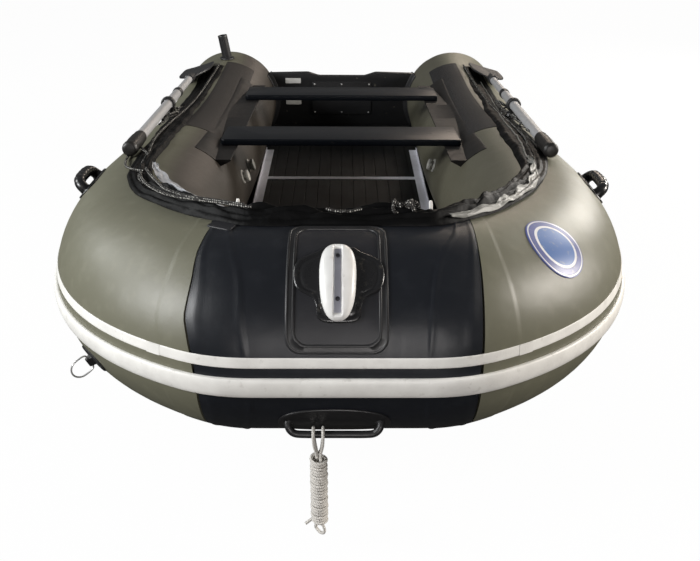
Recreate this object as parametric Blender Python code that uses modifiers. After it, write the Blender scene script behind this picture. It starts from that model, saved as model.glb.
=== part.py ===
"""Inflatable tender: three air chambers in a U round a slatted floor, a rigid
transom, two sliding seats, stowed oars and a rope painter at the bow.

Metres, +Z up. The bow points to -Y, starboard is -X and port is +X. The origin
is on the ground under the middle of the boat. A station is a distance aft of
the bow tube's front face. A place on the tubes is given by the arc along their
centre line from the middle of the bow (port is positive), the angle round the
tube (0 outward, 90 up, 180 inboard) and the height off the fabric.
"""
from math import ceil, cos, degrees, floor, hypot, pi, radians, sin, sqrt

import bmesh
import bpy
import numpy as np
from mathutils import Matrix, Vector

# Fits
GAP = 0.0003                # between pieces that touch
SLACK = 0.0009              # between the tubes and what lies on their facets
CUT_OVERRUN = 0.020         # a cutter reaches this far past what it cuts
WELD = 0.00001
SMALL = 0.0001

# Hull: a U of round tube, straight across the bow, swept up forward
OVERALL_LENGTH = 3.200
TUBE_RADIUS = 0.225
SIDE_OFFSET = 0.560         # middle plane to the side tubes' centres
BOW_FLAT_HALF = 0.208       # half of the straight run across the bow
BOW_TURN = radians(27)      # the kink where that run ends
BOW_REACH = 0.260           # how far the curve keeps the kink's heading
SIDE_REACH = 0.600          # how far ahead the side tubes' heading starts
BOW_SWEEP = 0.916           # bow tube centre to where the sides run straight
BOW_RISE = 0.232            # how far the bow tube sits above the side tubes
SHEER_STATION = 2.310       # the tubes start to rise ahead of here
SHEER_EASE_SHARE = 0.35     # share of the rise that eases in
TAIL_STATION = 2.860        # the side tubes start to taper
TAIL_LENGTH = 0.290
TAIL_RADIUS = 0.105
TUBE_SIDES = 24
BOW_STEPS = 9
SIDE_STEP = 0.195
SEAM_HALF = 0.280           # middle plane to the seams of the bow chamber
FABRIC = 0.0012
BAFFLE = 0.0010
CAP_PROFILE = ((0.43, 0.95), (0.76, 0.67), (0.93, 0.28), (1.00, 0.0))

# Rub strake and the tape above it, all round the outside
STRAKE_HEIGHT = 0.011
STRAKE_SECTION = ((-7.0, 0.0), (0.0, 0.0), (4.0, 0.0), (4.0, 0.36), (2.4, 0.80),
                  (-1.5, 1.0), (-5.4, 0.80), (-7.0, 0.36))
TAPE_ANGLES = (9.5, 15.0)
STRIPE_STATION = 2.850
PATCH_WALL = 0.0015

# Bottom cloth and inflated keel
CLOTH = 0.0016
LAP_ANGLES = (255.0, 240.0)
KEEL_LEVEL = 0.0070
KEEL_STATION = 1.750        # the keel line starts to rise ahead of here
KEEL_POWER = 2.2
BOTTOM_STATION = 2.800
KEEL_RADIUS = 0.0317
KEEL_CLEARANCE = 0.0004
KEEL_STATIONS = (0.80, 2.70)
KEEL_SIDES = 8

# Floor
FLOOR_TOP = 0.098
FLOOR_THICKNESS = 0.016
FLOOR_CLEARANCE = 0.0084    # a stringer's top edge to the tube beside it
PLANK_PITCH = 0.050
PLANK_GROOVE = (0.0030, 0.0020)     # width, depth
FORE_JOINER_STATION = 1.460
AFT_JOINER_STATION = 2.015
BOARD_FRONT_STATION = 0.950
BOARD_FRONT_INSET = 0.115
BOARD_SHOULDER_STATION = 1.150
BOARD_SHOULDER_INSET = 0.035
BOARD_SLOPE = 0.140
FLOOR_AFT_STATION = 2.772
JOINER_ARM = 0.014
JOINER_WALL = 0.0020
WEB_HALF = 0.0020
STRINGER_STATIONS = (1.500, 2.370)
STRINGER_LIP = 0.032
STRINGER_WALL = 0.0030
STRINGER_RISE = 0.0175

# Transom with its motor plates
TRANSOM_STATION = 2.785     # its inner face
TRANSOM_THICKNESS = 0.028
TRANSOM_CLEARANCE = 0.012   # board's edge to the tube
TRANSOM_ARC = (38.0, -50.0)
TRANSOM_STEPS = 8
TRANSOM_FOOT = 0.022
NOTCH_BOTTOM = 0.347
NOTCH_HALF = 0.122
NOTCH_TOP = 0.364
NOTCH_TOP_HALF = 0.170
HOLDER_ANGLES = (146.0, 226.0)
HOLDER_HALF = 0.040
HOLDER_BASE = 0.0030
HOLDER_LIP = 0.0040
HOLDER_HEIGHT = 0.021
PLATE_HALF = 0.150
PLATE_SPAN = (0.150, 0.318)
PLATE_WALL = 0.0060
PLUG_RADIUS = 0.018
PLUG_HEIGHT = 0.012
PLUG_FLANGE = (0.024, 0.0030)
PLUG_POSITION = (-0.200, 0.075)

# Seats and the rubber shelves that they slide on
SEAT_BEARING = 0.056        # how far a seat reaches over its shelf
SEAT_THICKNESS = 0.022
SEAT_ROUND = 0.0030
FORE_SEAT = (1.428, 0.097)  # station of its middle, half of its width
AFT_SEAT = (2.173, 0.095)
RAIL_STATIONS = (1.130, 2.420)
RAIL_FLANGE = 0.0025
RAIL_ANGLES = (106.0, 120.0, 135.0, 150.0)      # flange, two ridges, foot
SHELF_STATIONS = (1.354, 2.078)
SHELF_DROPS = (0.0497, 0.0320)                  # below the tube's top at those stations
SHELF_TUCK = 0.017                              # its inner edge from the tube's inmost line
LEVEL_STEPS = 30

# Patches, badge and handles on the tubes
BOW_PATCH_HALF = 0.100
BOW_PATCH_ANGLES = (17.0, 96.0)
WEAR_STATIONS = (1.410, 2.740)
WEAR_ANGLES = (91.5, 104.5)
BADGE_ARC = 0.395
BADGE_ANGLE = 56.0
BADGE_RADIUS = 0.070
BADGE_MARGIN = 0.014        # cloth round the badge before it is cut round
HANDLE_STATION = 0.860
HANDLE_ANGLES = {"starboard": 46.0, "port": 43.0}
HANDLE_BASE = (0.100, 9.5, 0.0040)      # half length, half angle, thickness
HANDLE_GRIP = ((0.076, 0.0025), (0.076, 0.016), (0.066, 0.031), (0.048, 0.038))
HANDLE_RADIUS = 0.0110
TOW_CENTRE = -0.011
TOW_BASE = (0.116, -17.0, -45.0, 0.0040)
TOW_GRIP = ((0.094, -30.0, 0.0025), (0.094, -30.0, 0.0120), (0.086, -32.0, 0.0215),
            (0.074, -33.0, 0.0240))
TOW_RADIUS = 0.0080
GRIP_SIDES = 10

# Fairlead with its winged base
WING_ROWS = ((33.0, 0.040), (38.0, 0.062), (45.0, 0.086), (52.0, 0.092),
             (60.0, 0.086), (66.0, 0.062), (72.0, 0.040))
WING_WALL = 0.0040
LEAD_CENTRE = -0.004
LEAD_ROWS = ((32.0, 0.62), (36.0, 0.92), (45.0, 1.0), (60.0, 1.0), (68.5, 0.92),
             (72.0, 0.62))
LEAD_HALF = 0.036
LEAD_HEIGHT = 0.020
LEAD_SECTION = ((1.0, 0.0), (1.0, 0.60), (0.80, 1.0), (0.36, 0.95), (0.28, 0.40))

# D-ring on its welded patch
RING_ARC = -0.460
RING_ANGLE = -22.5
RING_PATCH = (0.040, 6.8, 0.0030)       # half length, half angle, thickness
RING_WIRE = 0.0020
RING_BAR_HALF = 0.0175
RING_ROUND = 0.0225
RING_REACH = 0.024          # from the bar to the round's middle
RING_HEIGHT = 0.0105
RING_STEPS = 12
TAB_HALF = 0.011
TAB_RADIUS = 0.0065
TAB_BORE = 0.0027
TAB_STEPS = 10

# Air valves: arc station, side, angle
VALVES = {"starboard_fore": (1.339, -1), "starboard_aft": (1.509, -1), "port": (1.521, 1)}
VALVE_ANGLE = 165.0
VALVE_BODY = ((0.0, 0.0090), (0.0150, 0.0090), (0.0150, 0.0050), (0.0240, 0.0050),
              (0.0240, 0.0), (0.0, 0.0))
CAP_BODY = ((0.0, 0.0080), (0.0170, 0.0080), (0.0200, 0.0055), (0.0200, 0.0), (0.0, 0.0))
VALVE_SIDES = 16

# Oars with their locks
OAR_FORE = (0.926, 78.0, 0.029)         # station, angle and height of the grip's end
OAR_AFT = (2.340, 66.0, 0.040)
LOCK_STATION = 1.635
SHAFT_RADIUS = 0.0165
SHAFT_SIDES = 12
GRIP_LENGTH = 0.235
GRIP_PROFILE = ((0.0, 1.0), (0.62, 0.99), (0.93, 0.955), (1.0, 0.88), (0.95, 0.55),
                (0.86, 0.05), (0.86, 0.0), (0.0, 0.0))
GRIP_RADIUS = 0.0225
BLADE_STATION = 2.200
BLADE_LENGTH = 0.420
BLADE_HALF = 0.075
BLADE_HALF_THICKNESS = 0.0050
BLADE_OUTLINE = ((0.18, 0.06), (0.55, 0.24), (0.92, 0.40), (1.0, 0.56), (1.0, 0.90),
                 (0.86, 0.985), (0.60, 1.0))
SOCKET_RADIUS = 0.0205
SOCKET_LENGTH = 0.115
LOCK_INNER = 0.0172
LOCK_OUTER = 0.0265
LOCK_HALF = 0.0120
PIN_RADIUS = 0.0060
PIN_REACH = 0.050
PIN_FIT = 0.0004
BOSS_RADIUS = 0.0160
BOSS_TOP = 0.0300           # below the shaft's centre
BOSS_FOOT = 0.0040          # above the fabric
PAD_HALF = 0.045
PAD_HALF_ANGLE = 6.5
PAD_WALL = 0.0100

# Rod holder
ROD_STATION = 2.700
ROD_ANGLE = 90.0
ROD_LIFT = 0.0020           # its flange spans the tube's top and the wear patch
ROD_LEAN = radians(9)
ROD_RADIUS = 0.0225
ROD_BORE = 0.0185
ROD_LENGTH = 0.105
ROD_FLOOR = 0.014
ROD_FLANGE = (0.034, 0.0080)
ROD_SIDES = 20

# Spray flap round the coaming: station, inner and outer angle, fold height
FLAP_KEYS = ((0.225, 124.0, 101.0, 0.012), (0.400, 116.0, 94.0, 0.012),
             (0.600, 105.0, 88.0, 0.011), (0.800, 98.0, 84.0, 0.006),
             (0.950, 91.5, 82.0, 0.0), (2.560, 90.0, 81.0, 0.0))
FLAP_LIFT = 0.0005
FLAP_WALL = 0.0018
FLAP_COLUMNS = 9
FLAP_FOLDS = (0.0, 0.8, 0.35, 1.0, 0.3, 0.7, 0.2, 0.45, 0.0)

# Rope laced along the flap's outer edge: arc station, angle, height
LACE_RADIUS = 0.0040
LACE_SIDES = 8
LACE_STEPS = 3
LACE_SIDE = ((2.560, 85.5, 0.0072), (2.250, 85.0, 0.0072), (1.900, 86.0, 0.0072),
             (1.550, 85.5, 0.0072), (1.300, 86.0, 0.0074), (1.120, 87.5, 0.0085))
LACE_STARBOARD = ((0.980, 89.5, 0.0130), (0.905, 84.0, 0.0180), (0.850, 75.0, 0.0200),
                  (0.780, 71.5, 0.0160), (0.710, 73.5, 0.0120), (0.640, 79.5, 0.0090))
LACE_PORT = ((0.980, 88.5, 0.0130), (0.880, 83.0, 0.0150), (0.780, 77.0, 0.0090),
             (0.640, 80.0, 0.0080))
LACE_BOW = ((0.520, 85.5, 0.0060), (0.420, 89.5, 0.0056), (0.330, 93.0, 0.0054),
            (0.250, 95.5, 0.0054))

# Painter: one rope hung in two bights on the tow handle and wrapped on itself
ROPE_RADIUS = 0.0035
ROPE_SIDES = 6
PAINTER_X = -0.044
BIGHT_RADIUS = 0.0123
BIGHT_OFFSET = 0.0100       # bights each side of the middle
BIGHT_STEPS = 8
LEG_OFFSET = 0.0042
NECK_DROP = 0.050           # below the handle's bar
WRAP_RADIUS = 0.0143
WRAP_DROP = 0.064
WRAP_PITCH = 0.0080
WRAPS = 22
WRAP_POINTS = 10
WRAP_LEAD = radians(60)
WRAP_START = radians(110)
LEAD_SHARE = 0.62
LEAD_PITCHES = 1.6
FOLD_RADIUS = 0.0150
FOLD_STEPS = 12
FOLD_START = radians(210)
FOLD_SWEEP = radians(240)
FOLD_DROP = 0.0210          # below the last wrap to the fold's middle
LEG_STEPS = 10
FLARE_SHARE = 1.2           # how the legs spread to the bights
FLARE_DROP_SHARE = 0.82
SIDE_SHARE = 0.85
SWELL_SHARE = 0.75
END_OFFSET = (-0.026, -0.010, -0.016)
END_SHARES = (0.4, 1.0)
NEAR_RUN = 0.021            # rope nearer than this along itself isn't measured

BOW_FACE = STRAKE_HEIGHT - OVERALL_LENGTH / 2
FACET = 360 / TUBE_SIDES
FIRST_ANGLE = 165.0         # the angle of a ring's first point


def clear_scene():
    for item in list(bpy.data.objects):
        bpy.data.objects.remove(item, do_unlink=True)


def collection(name):
    group = bpy.data.collections.new(name)
    bpy.context.scene.collection.children.link(group)
    return group


clear_scene()
BOAT = collection("inflatable_boat")
CUTTERS = collection("cutters")


def material(name, colour, roughness, metallic=0.0):
    finish = bpy.data.materials.new(name)
    finish.use_nodes = True
    shader = finish.node_tree.nodes["Principled BSDF"]
    shader.inputs["Base Color"].default_value = (*colour, 1.0)
    shader.inputs["Roughness"].default_value = roughness
    shader.inputs["Metallic"].default_value = metallic
    finish.diffuse_color = (*colour, 1.0)
    return finish


def solid_mesh(piece):
    """The finished mesh of an object, welded, with the object removed."""
    bpy.context.view_layer.update()
    graph = bpy.context.evaluated_depsgraph_get()
    mesh = bpy.data.meshes.new_from_object(piece.evaluated_get(graph))
    mesh.transform(piece.matrix_world)
    shape = bmesh.new()
    shape.from_mesh(mesh)
    bmesh.ops.remove_doubles(shape, verts=shape.verts, dist=WELD)
    shape.to_mesh(mesh)
    shape.free()
    bpy.data.objects.remove(piece, do_unlink=True)
    return mesh


def add(name, mesh, finish, place=None):
    """One named piece, or a hidden cutter when it has no finish."""
    mesh.name = name
    piece = bpy.data.objects.new(name, mesh)
    mesh.materials.clear()
    if finish:
        BOAT.objects.link(piece)
        mesh.materials.append(finish)
    else:
        CUTTERS.objects.link(piece)
        piece.hide_render = True
        piece.display_type = "WIRE"
    if place:
        piece.matrix_world = place
    return piece


def boolean(piece, other, operation):
    change = piece.modifiers.new(operation.lower(), "BOOLEAN")
    change.operation = operation
    change.object = other
    change.solver = "EXACT"


def box(name, low, high, finish=None, place=None, edge=0.0):
    shape = bmesh.new()
    bmesh.ops.create_cube(shape, size=1)
    low, high = Vector(low), Vector(high)
    size = high - low
    bmesh.ops.transform(
        shape, matrix=Matrix.Translation((low + high) / 2) @ Matrix.Diagonal((*size, 1)),
        verts=shape.verts)
    mesh = bpy.data.meshes.new(name)
    shape.to_mesh(mesh)
    shape.free()
    piece = add(name, mesh, finish, place)
    if edge:
        bevel = piece.modifiers.new("edges", "BEVEL")
        bevel.width = edge
        bevel.segments = 1
    return piece


def prism(name, outlines, half, finish=None, place=None):
    """A flat outline, with any holes after it, raised both ways from its plane."""
    curve = bpy.data.curves.new(name, "CURVE")
    curve.dimensions = "2D"
    curve.fill_mode = "BOTH"
    curve.extrude = half
    for outline in outlines:
        spline = curve.splines.new("POLY")
        spline.points.add(len(outline) - 1)
        spline.use_cyclic_u = True
        for point, (x, y) in zip(spline.points, outline):
            point.co = (x, y, 0, 1)
    piece = bpy.data.objects.new(name, curve)
    CUTTERS.objects.link(piece)
    return add(name, solid_mesh(piece), finish, place)


def wire(name, points, radius, sides, finish=None, closed=False):
    curve = bpy.data.curves.new(name, "CURVE")
    curve.dimensions = "3D"
    curve.bevel_depth = radius
    curve.bevel_resolution = sides // 2 - 2
    curve.use_fill_caps = not closed
    spline = curve.splines.new("POLY")
    spline.points.add(len(points) - 1)
    spline.use_cyclic_u = closed
    for point, spot in zip(spline.points, points):
        point.co = (*spot, 1)
    piece = bpy.data.objects.new(name, curve)
    CUTTERS.objects.link(piece)
    piece = add(name, solid_mesh(piece), finish)
    piece.data.shade_smooth()
    return piece


def turned(name, profile, sides, finish=None, place=None):
    """A round piece about its own Z; the profile runs down its outer side."""
    mesh = bpy.data.meshes.new(name)
    edges = [(i, i + 1) for i in range(len(profile) - 1)]
    if profile[0][0] and profile[-1][0]:
        edges.append((len(profile) - 1, 0))
    mesh.from_pydata([(r, 0, z) for r, z in profile], edges, [])
    piece = add(name, mesh, finish, place)
    screw = piece.modifiers.new("turn", "SCREW")
    screw.steps = sides
    screw.render_steps = sides
    screw.use_merge_vertices = True
    screw.merge_threshold = WELD
    return piece


def pin(name, radius, start, end, sides, finish=None):
    """A plain round bar between two points."""
    start, end = Vector(start), Vector(end)
    reach = (end - start).length
    profile = ((0, reach), (radius, reach), (radius, 0), (0, 0))
    return turned(name, profile, sides, finish, aimed(start, end - start))


def aimed(origin, axis, across=None):
    """A frame at origin with Z along axis and X as near as can be to across."""
    z = Vector(axis).normalized()
    x = Vector(across) if across else z.orthogonal()
    x = (x - x.dot(z) * z).normalized()
    y = z.cross(x)
    return Matrix.Translation(origin) @ Matrix((x, y, z)).transposed().to_4x4()


def pivot(piece, place):
    """Move a piece's origin to a frame without moving the piece."""
    piece.data.transform(place.inverted() @ piece.matrix_world)
    piece.matrix_world = place
    return piece


def hung_cloth(name, rows, wall, finish):
    """Cloth through rows of points, its underside the same triangles straight below."""
    shape = bmesh.new()
    bmesh.ops.create_grid(
        shape, x_segments=len(rows[0]) - 1, y_segments=len(rows) - 1, size=1)
    shape.verts.ensure_lookup_table()
    for vert, spot in zip(shape.verts, [spot for row in rows for spot in row]):
        vert.co = spot
    bmesh.ops.triangulate(shape, faces=shape.faces)
    under = bmesh.ops.extrude_face_region(shape, geom=shape.faces[:])["geom"]
    lowered = [item for item in under if isinstance(item, bmesh.types.BMVert)]
    bmesh.ops.translate(shape, verts=lowered, vec=(0, 0, -wall))
    bmesh.ops.recalc_face_normals(shape, faces=shape.faces)
    mesh = bpy.data.meshes.new(name)
    shape.to_mesh(mesh)
    shape.free()
    return add(name, mesh, finish)


def loft(name, loops, finish=None):
    """Skin a row of closed outlines and fill both ends."""
    columns = len(loops[0])
    shape = bmesh.new()
    bmesh.ops.create_grid(shape, x_segments=columns, y_segments=len(loops) - 1, size=1)
    spots = [spot for loop in loops for spot in (*loop, loop[0])]
    shape.verts.ensure_lookup_table()
    for vert, spot in zip(shape.verts, spots):
        vert.co = spot
    bmesh.ops.remove_doubles(shape, verts=shape.verts, dist=WELD)
    bmesh.ops.holes_fill(shape, edges=shape.edges)
    bmesh.ops.recalc_face_normals(shape, faces=shape.faces)
    mesh = bpy.data.meshes.new(name)
    shape.to_mesh(mesh)
    shape.free()
    return add(name, mesh, finish)


def smooth_path(keys, steps):
    """Points on a smooth curve through the keys, steps to each stretch."""
    keys = [np.array(key, float) for key in keys]
    ends = [2 * keys[0] - keys[1]] + keys + [2 * keys[-1] - keys[-2]]
    path = []
    for before, first, second, after in zip(ends, ends[1:], ends[2:], ends[3:]):
        for step in range(steps):
            t = step / steps
            path.append((2 * first + (second - before) * t
                         + (2 * before - 5 * first + 4 * second - after) * t**2
                         + (3 * first - before - 3 * second + after) * t**3) / 2)
    return path + [keys[-1]]


def station(distance):
    return BOW_FACE + distance


def sheer(y):
    """Height of the tubes' centre line: level aft, swept up to the bow."""
    start = station(SHEER_STATION)
    share = min(max((start - y) / (start - station(TUBE_RADIUS)), 0), 1)
    ease = SHEER_EASE_SHARE
    climb = share * share / (2 * ease) if share < ease else share - ease / 2
    return TUBE_RADIUS + BOW_RISE * climb / (1 - ease / 2)


def half_line():
    """Centre line from the bow's kink to the tail: x, y and radius share."""
    bow_y = station(TUBE_RADIUS)
    start = Vector((BOW_FLAT_HALF, bow_y))
    end = Vector((SIDE_OFFSET, bow_y + BOW_SWEEP))
    first = start + BOW_REACH * Vector((cos(BOW_TURN), sin(BOW_TURN)))
    second = end - Vector((0, SIDE_REACH))
    rows = []
    for step in range(BOW_STEPS + 1):
        t = step / BOW_STEPS
        r = 1 - t
        spot = r**3 * start + 3 * r * r * t * first + 3 * r * t * t * second + t**3 * end
        rows.append((spot.x, spot.y, 1))
    run = station(TAIL_STATION) - end.y
    steps = ceil(run / SIDE_STEP)
    for step in range(1, steps + 1):
        rows.append((SIDE_OFFSET, end.y + run * step / steps, 1))
    rows.append((SIDE_OFFSET, station(TAIL_STATION + TAIL_LENGTH), TAIL_RADIUS / TUBE_RADIUS))
    return rows


def hull_mesh():
    """The whole U as one round sweep with open ends, and its centre line."""
    half = half_line()
    rows = [(-x, y, share) for x, y, share in reversed(half)] + half
    curve = bpy.data.curves.new("hull_line", "CURVE")
    curve.dimensions = "3D"
    curve.bevel_depth = TUBE_RADIUS
    curve.bevel_resolution = TUBE_SIDES // 2 - 2
    curve.twist_mode = "Z_UP"
    spline = curve.splines.new("POLY")
    spline.points.add(len(rows) - 1)
    for point, (x, y, share) in zip(spline.points, rows):
        point.co = (x, y, sheer(y), 1)
        point.radius = share
    piece = bpy.data.objects.new("hull_line", curve)
    BOAT.objects.link(piece)
    graph = bpy.context.evaluated_depsgraph_get()
    mesh = bpy.data.meshes.new_from_object(piece.evaluated_get(graph))
    bpy.data.objects.remove(piece, do_unlink=True)
    centres = [Vector((x, y, sheer(y))) for x, y, share in rows]
    open_mitres(mesh, centres)
    return mesh, centres


def open_mitres(mesh, centres):
    """Put each ring on the mitre of its two runs, so the tube keeps its girth."""
    runs = [(b - a).normalized() for a, b in zip(centres, centres[1:])]
    for row in range(1, len(centres) - 1):
        before, after = runs[row - 1:row + 1]
        plane = (before + after).normalized()
        for n, vert in enumerate(mesh.vertices[row * TUBE_SIDES:(row + 1) * TUBE_SIDES]):
            turn = radians(FIRST_ANGLE - n * FACET)
            spots = []
            for run in (before, after):
                out = run.cross((0, 0, 1)).normalized()
                spoke = TUBE_RADIUS * (out * cos(turn) + out.cross(run) * sin(turn))
                spots.append(centres[row] + spoke - run * spoke.dot(plane) / run.dot(plane))
            vert.co = (spots[0] + spots[1]) / 2


HULL, CENTRES = hull_mesh()
LATTICE = [[HULL.vertices[i * TUBE_SIDES + j].co for j in range(TUBE_SIDES)]
           for i in range(len(CENTRES))]
RUNS = [0.0] + [(b - a).length for a, b in zip(CENTRES, CENTRES[1:])]
ARCS = np.cumsum(RUNS) - sum(RUNS) / 2


def along(distance, side=1):
    """The arc at which a side tube's centre line passes a station."""
    middle = len(CENTRES) // 2
    ys = [centre.y for centre in CENTRES[middle:]]
    return side * float(np.interp(station(distance), ys, ARCS[middle:]))


def ring_share(arc):
    row = int(np.clip(np.searchsorted(ARCS, arc) - 1, 0, len(ARCS) - 2))
    return row, (arc - ARCS[row]) / (ARCS[row + 1] - ARCS[row])


def centre_at(arc):
    row, share = ring_share(arc)
    return CENTRES[row].lerp(CENTRES[row + 1], share)


def on_ring(row, angle, height):
    """A point over one ring's facets."""
    column = (FIRST_ANGLE - angle) / FACET
    left = floor(column)
    ends = []
    for j in (left, left + 1):
        spoke = LATTICE[row][j % TUBE_SIDES] - CENTRES[row]
        ends.append(CENTRES[row] + spoke * (1 + height / spoke.length))
    return ends[0].lerp(ends[1], column - left)


def off_ring(row, angle, height):
    """A point over the round tube that the ring stands for."""
    up = LATTICE[row][round((FIRST_ANGLE - 90) / FACET)] - CENTRES[row]
    out = LATTICE[row][round(FIRST_ANGLE / FACET)] - CENTRES[row]
    turn = radians(angle)
    spoke = out * cos(turn) + up * sin(turn)
    return CENTRES[row] + spoke * (1 + height / spoke.length)


def skin(arc, angle, height, ring=on_ring):
    row, share = ring_share(arc)
    return ring(row, angle, height).lerp(ring(row + 1, angle, height), share)


def bulge(arc, angle, height):
    return skin(arc, angle, height, off_ring)


def on_bow(x, angle, height, ring=on_ring):
    """A point on the straight bow tube, by its X in place of an arc."""
    row = len(CENTRES) // 2
    near, far = ring(row - 1, angle, height), ring(row, angle, height)
    return near.lerp(far, (x - near.x) / (far.x - near.x))


def between(low, high, marks):
    inside = [mark for mark in marks if low + SMALL < mark < high - SMALL]
    return [low, *inside, high]


def arcs_in(low, high):
    return between(low, high, [float(arc) for arc in ARCS])


def ridges_in(low, high):
    first = ceil(low / FACET)
    return between(low, high, [FACET * n for n in range(first, floor(high / FACET) + 1)])


def normal_at(arc, angle):
    return (skin(arc, angle, TUBE_RADIUS) - skin(arc, angle, 0)).normalized()


def seat_on(arc, angle, height):
    """A frame on the tube: X along it, Z off it."""
    ahead = skin(arc + SMALL, angle, height) - skin(arc - SMALL, angle, height)
    return aimed(skin(arc, angle, height), normal_at(arc, angle), ahead)


def cover(name, arcs, angles, height, wall, finish=None, point=skin):
    """A patch of even thickness that follows the tube's facets."""
    turns = ridges_in(*angles)
    section = [(a, height) for a in turns] + [(a, height + wall) for a in reversed(turns)]
    loops = [[point(arc, a, h) for a, h in section] for arc in arcs_in(*arcs)]
    return loft(name, loops, finish)


def mirrored(low, high, side):
    return sorted((side * low, side * high))


OLIVE = material("olive_fabric", (0.115, 0.112, 0.082), 0.42)
BLACK_FABRIC = material("black_fabric", (0.012, 0.013, 0.018), 0.35)
WHITE = material("white_rubber", (0.78, 0.74, 0.70), 0.45)
RUBBER = material("black_rubber", (0.012, 0.012, 0.013), 0.48)
DARK_PATCH = material("grey_patch", (0.036, 0.033, 0.036), 0.60)
PANEL = material("floor_panel", (0.020, 0.026, 0.028), 0.40, 0.6)
ALUMINIUM = material("anodised_trim", (0.62, 0.62, 0.66), 0.35, 1.0)
BOARD = material("black_board", (0.006, 0.007, 0.010), 0.50)
SEAT = material("seat_black", (0.008, 0.009, 0.014), 0.38)
PLASTIC = material("black_plastic", (0.010, 0.010, 0.011), 0.40)
LIGHT_PLASTIC = material("light_plastic", (0.62, 0.62, 0.64), 0.40)
STEEL = material("steel_wire", (0.60, 0.60, 0.58), 0.25, 1.0)
CLOTH_BLACK = material("flap_cloth", (0.014, 0.014, 0.015), 0.65)
LACE = material("dark_rope", (0.030, 0.030, 0.028), 0.80)
ROPE = material("white_rope", (0.80, 0.76, 0.70), 0.85)
BADGE = material("badge_blue", (0.035, 0.12, 0.38), 0.40)

SEAM = SEAM_HALF + BAFFLE / 2 + GAP
REACH = OVERALL_LENGTH


def slice_of_hull(name, low, high, finish):
    """The part of the hull's skin between two planes across X, ends open."""
    shape = bmesh.new()
    shape.from_mesh(HULL)
    for limit, side in ((low, -1), (high, 1)):
        everything = shape.verts[:] + shape.edges[:] + shape.faces[:]
        bmesh.ops.bisect_plane(shape, geom=everything, dist=WELD, clear_outer=True,
                               plane_co=(limit, 0, 0), plane_no=(side, 0, 0))
    mesh = bpy.data.meshes.new(name)
    shape.to_mesh(mesh)
    shape.free()
    mesh.shade_smooth()
    return add(name, mesh, finish)


def chamber(name, low, high, finish):
    """A thin-walled length of tube, trimmed square to X at its seams."""
    piece = slice_of_hull(name, low - CUT_OVERRUN, high + CUT_OVERRUN, finish)
    wall = piece.modifiers.new("wall", "SOLIDIFY")
    wall.thickness = FABRIC
    wall.offset = -1
    span = box(name + "_span", (low, -REACH, -REACH), (high, REACH, REACH))
    boolean(piece, span, "INTERSECT")
    return piece


# Air chambers, with the baffles that close them at the seams
chamber("bow_tube", GAP + BAFFLE / 2 - SEAM_HALF, SEAM_HALF - BAFFLE / 2 - GAP, BLACK_FABRIC)
chamber("starboard_tube", -REACH, -SEAM, OLIVE)
chamber("port_tube", SEAM, REACH, OLIVE)
for side, hand in ((-1, "starboard"), (1, "port")):
    near, far = mirrored(SEAM_HALF - BAFFLE / 2, SEAM_HALF + BAFFLE / 2, side)
    disc = slice_of_hull(hand + "_baffle", near, far, BLACK_FABRIC)
    shape = bmesh.new()
    shape.from_mesh(disc.data)
    bmesh.ops.holes_fill(shape, edges=shape.edges)
    shape.to_mesh(disc.data)
    shape.free()

    # Moulded cap on the tapered tail
    tail = station(TAIL_STATION + TAIL_LENGTH) + GAP
    length = OVERALL_LENGTH / 2 - tail
    profile = [(0, length)] + [(TAIL_RADIUS * r, length * h) for r, h in CAP_PROFILE] + [(0, 0)]
    turned(hand + "_tail_cap", profile, TUBE_SIDES, RUBBER,
           aimed((side * SIDE_OFFSET, tail, TUBE_RADIUS), (0, 1, 0)))

# Stripes
stripe = along(STRIPE_STATION)
strake = [(a, SLACK + h * (STRAKE_HEIGHT - SLACK)) for a, h in STRAKE_SECTION]
loft("rub_strake", [[skin(arc, a, h) for a, h in strake] for arc in arcs_in(-stripe, stripe)],
     WHITE)
cover("stripe_tape", (-stripe, stripe), TAPE_ANGLES, SLACK, PATCH_WALL, WHITE)


def keel_height(y):
    """Height of the bottom cloth at the middle: deep forward, level aft."""
    front = bulge(0, LAP_ANGLES[1], SLACK)
    share = (station(KEEL_STATION) - y) / (station(KEEL_STATION) - front.y)
    share = min(max(share, 0), 1)
    return KEEL_LEVEL + (front.z - KEEL_LEVEL) * share**KEEL_POWER


def bottom_rows():
    """Rows across the bottom cloth's upper side, one at each ring of the side tubes."""
    rows = []
    for arc in arcs_in(BOW_FLAT_HALF, along(BOTTOM_STATION)):
        weld, lap = (skin(arc, angle, SLACK) for angle in LAP_ANGLES)
        middle = Vector((0, lap.y, keel_height(lap.y)))
        half = [weld, lap, (lap + middle) / 2]
        rows.append(half + [middle] + [Vector((-p.x, p.y, p.z)) for p in reversed(half)])
    return rows


# Bottom cloth, welded under the tubes, and the inflated keel on it
tops = bottom_rows()
hung_cloth("bottom_cloth", tops, CLOTH, BLACK_FABRIC)
middles = [row[len(row) // 2] for row in tops]
keel = []
for before, middle, after in zip(middles, middles[1:], middles[2:]):
    if station(KEEL_STATIONS[0]) <= middle.y <= station(KEEL_STATIONS[1]):
        lift = Vector((1, 0, 0)).cross(after - before).normalized()
        keel.append(middle + lift * (KEEL_RADIUS + KEEL_CLEARANCE))
wire("keel_tube", keel, KEEL_RADIUS, KEEL_SIDES, BLACK_FABRIC)

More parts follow.
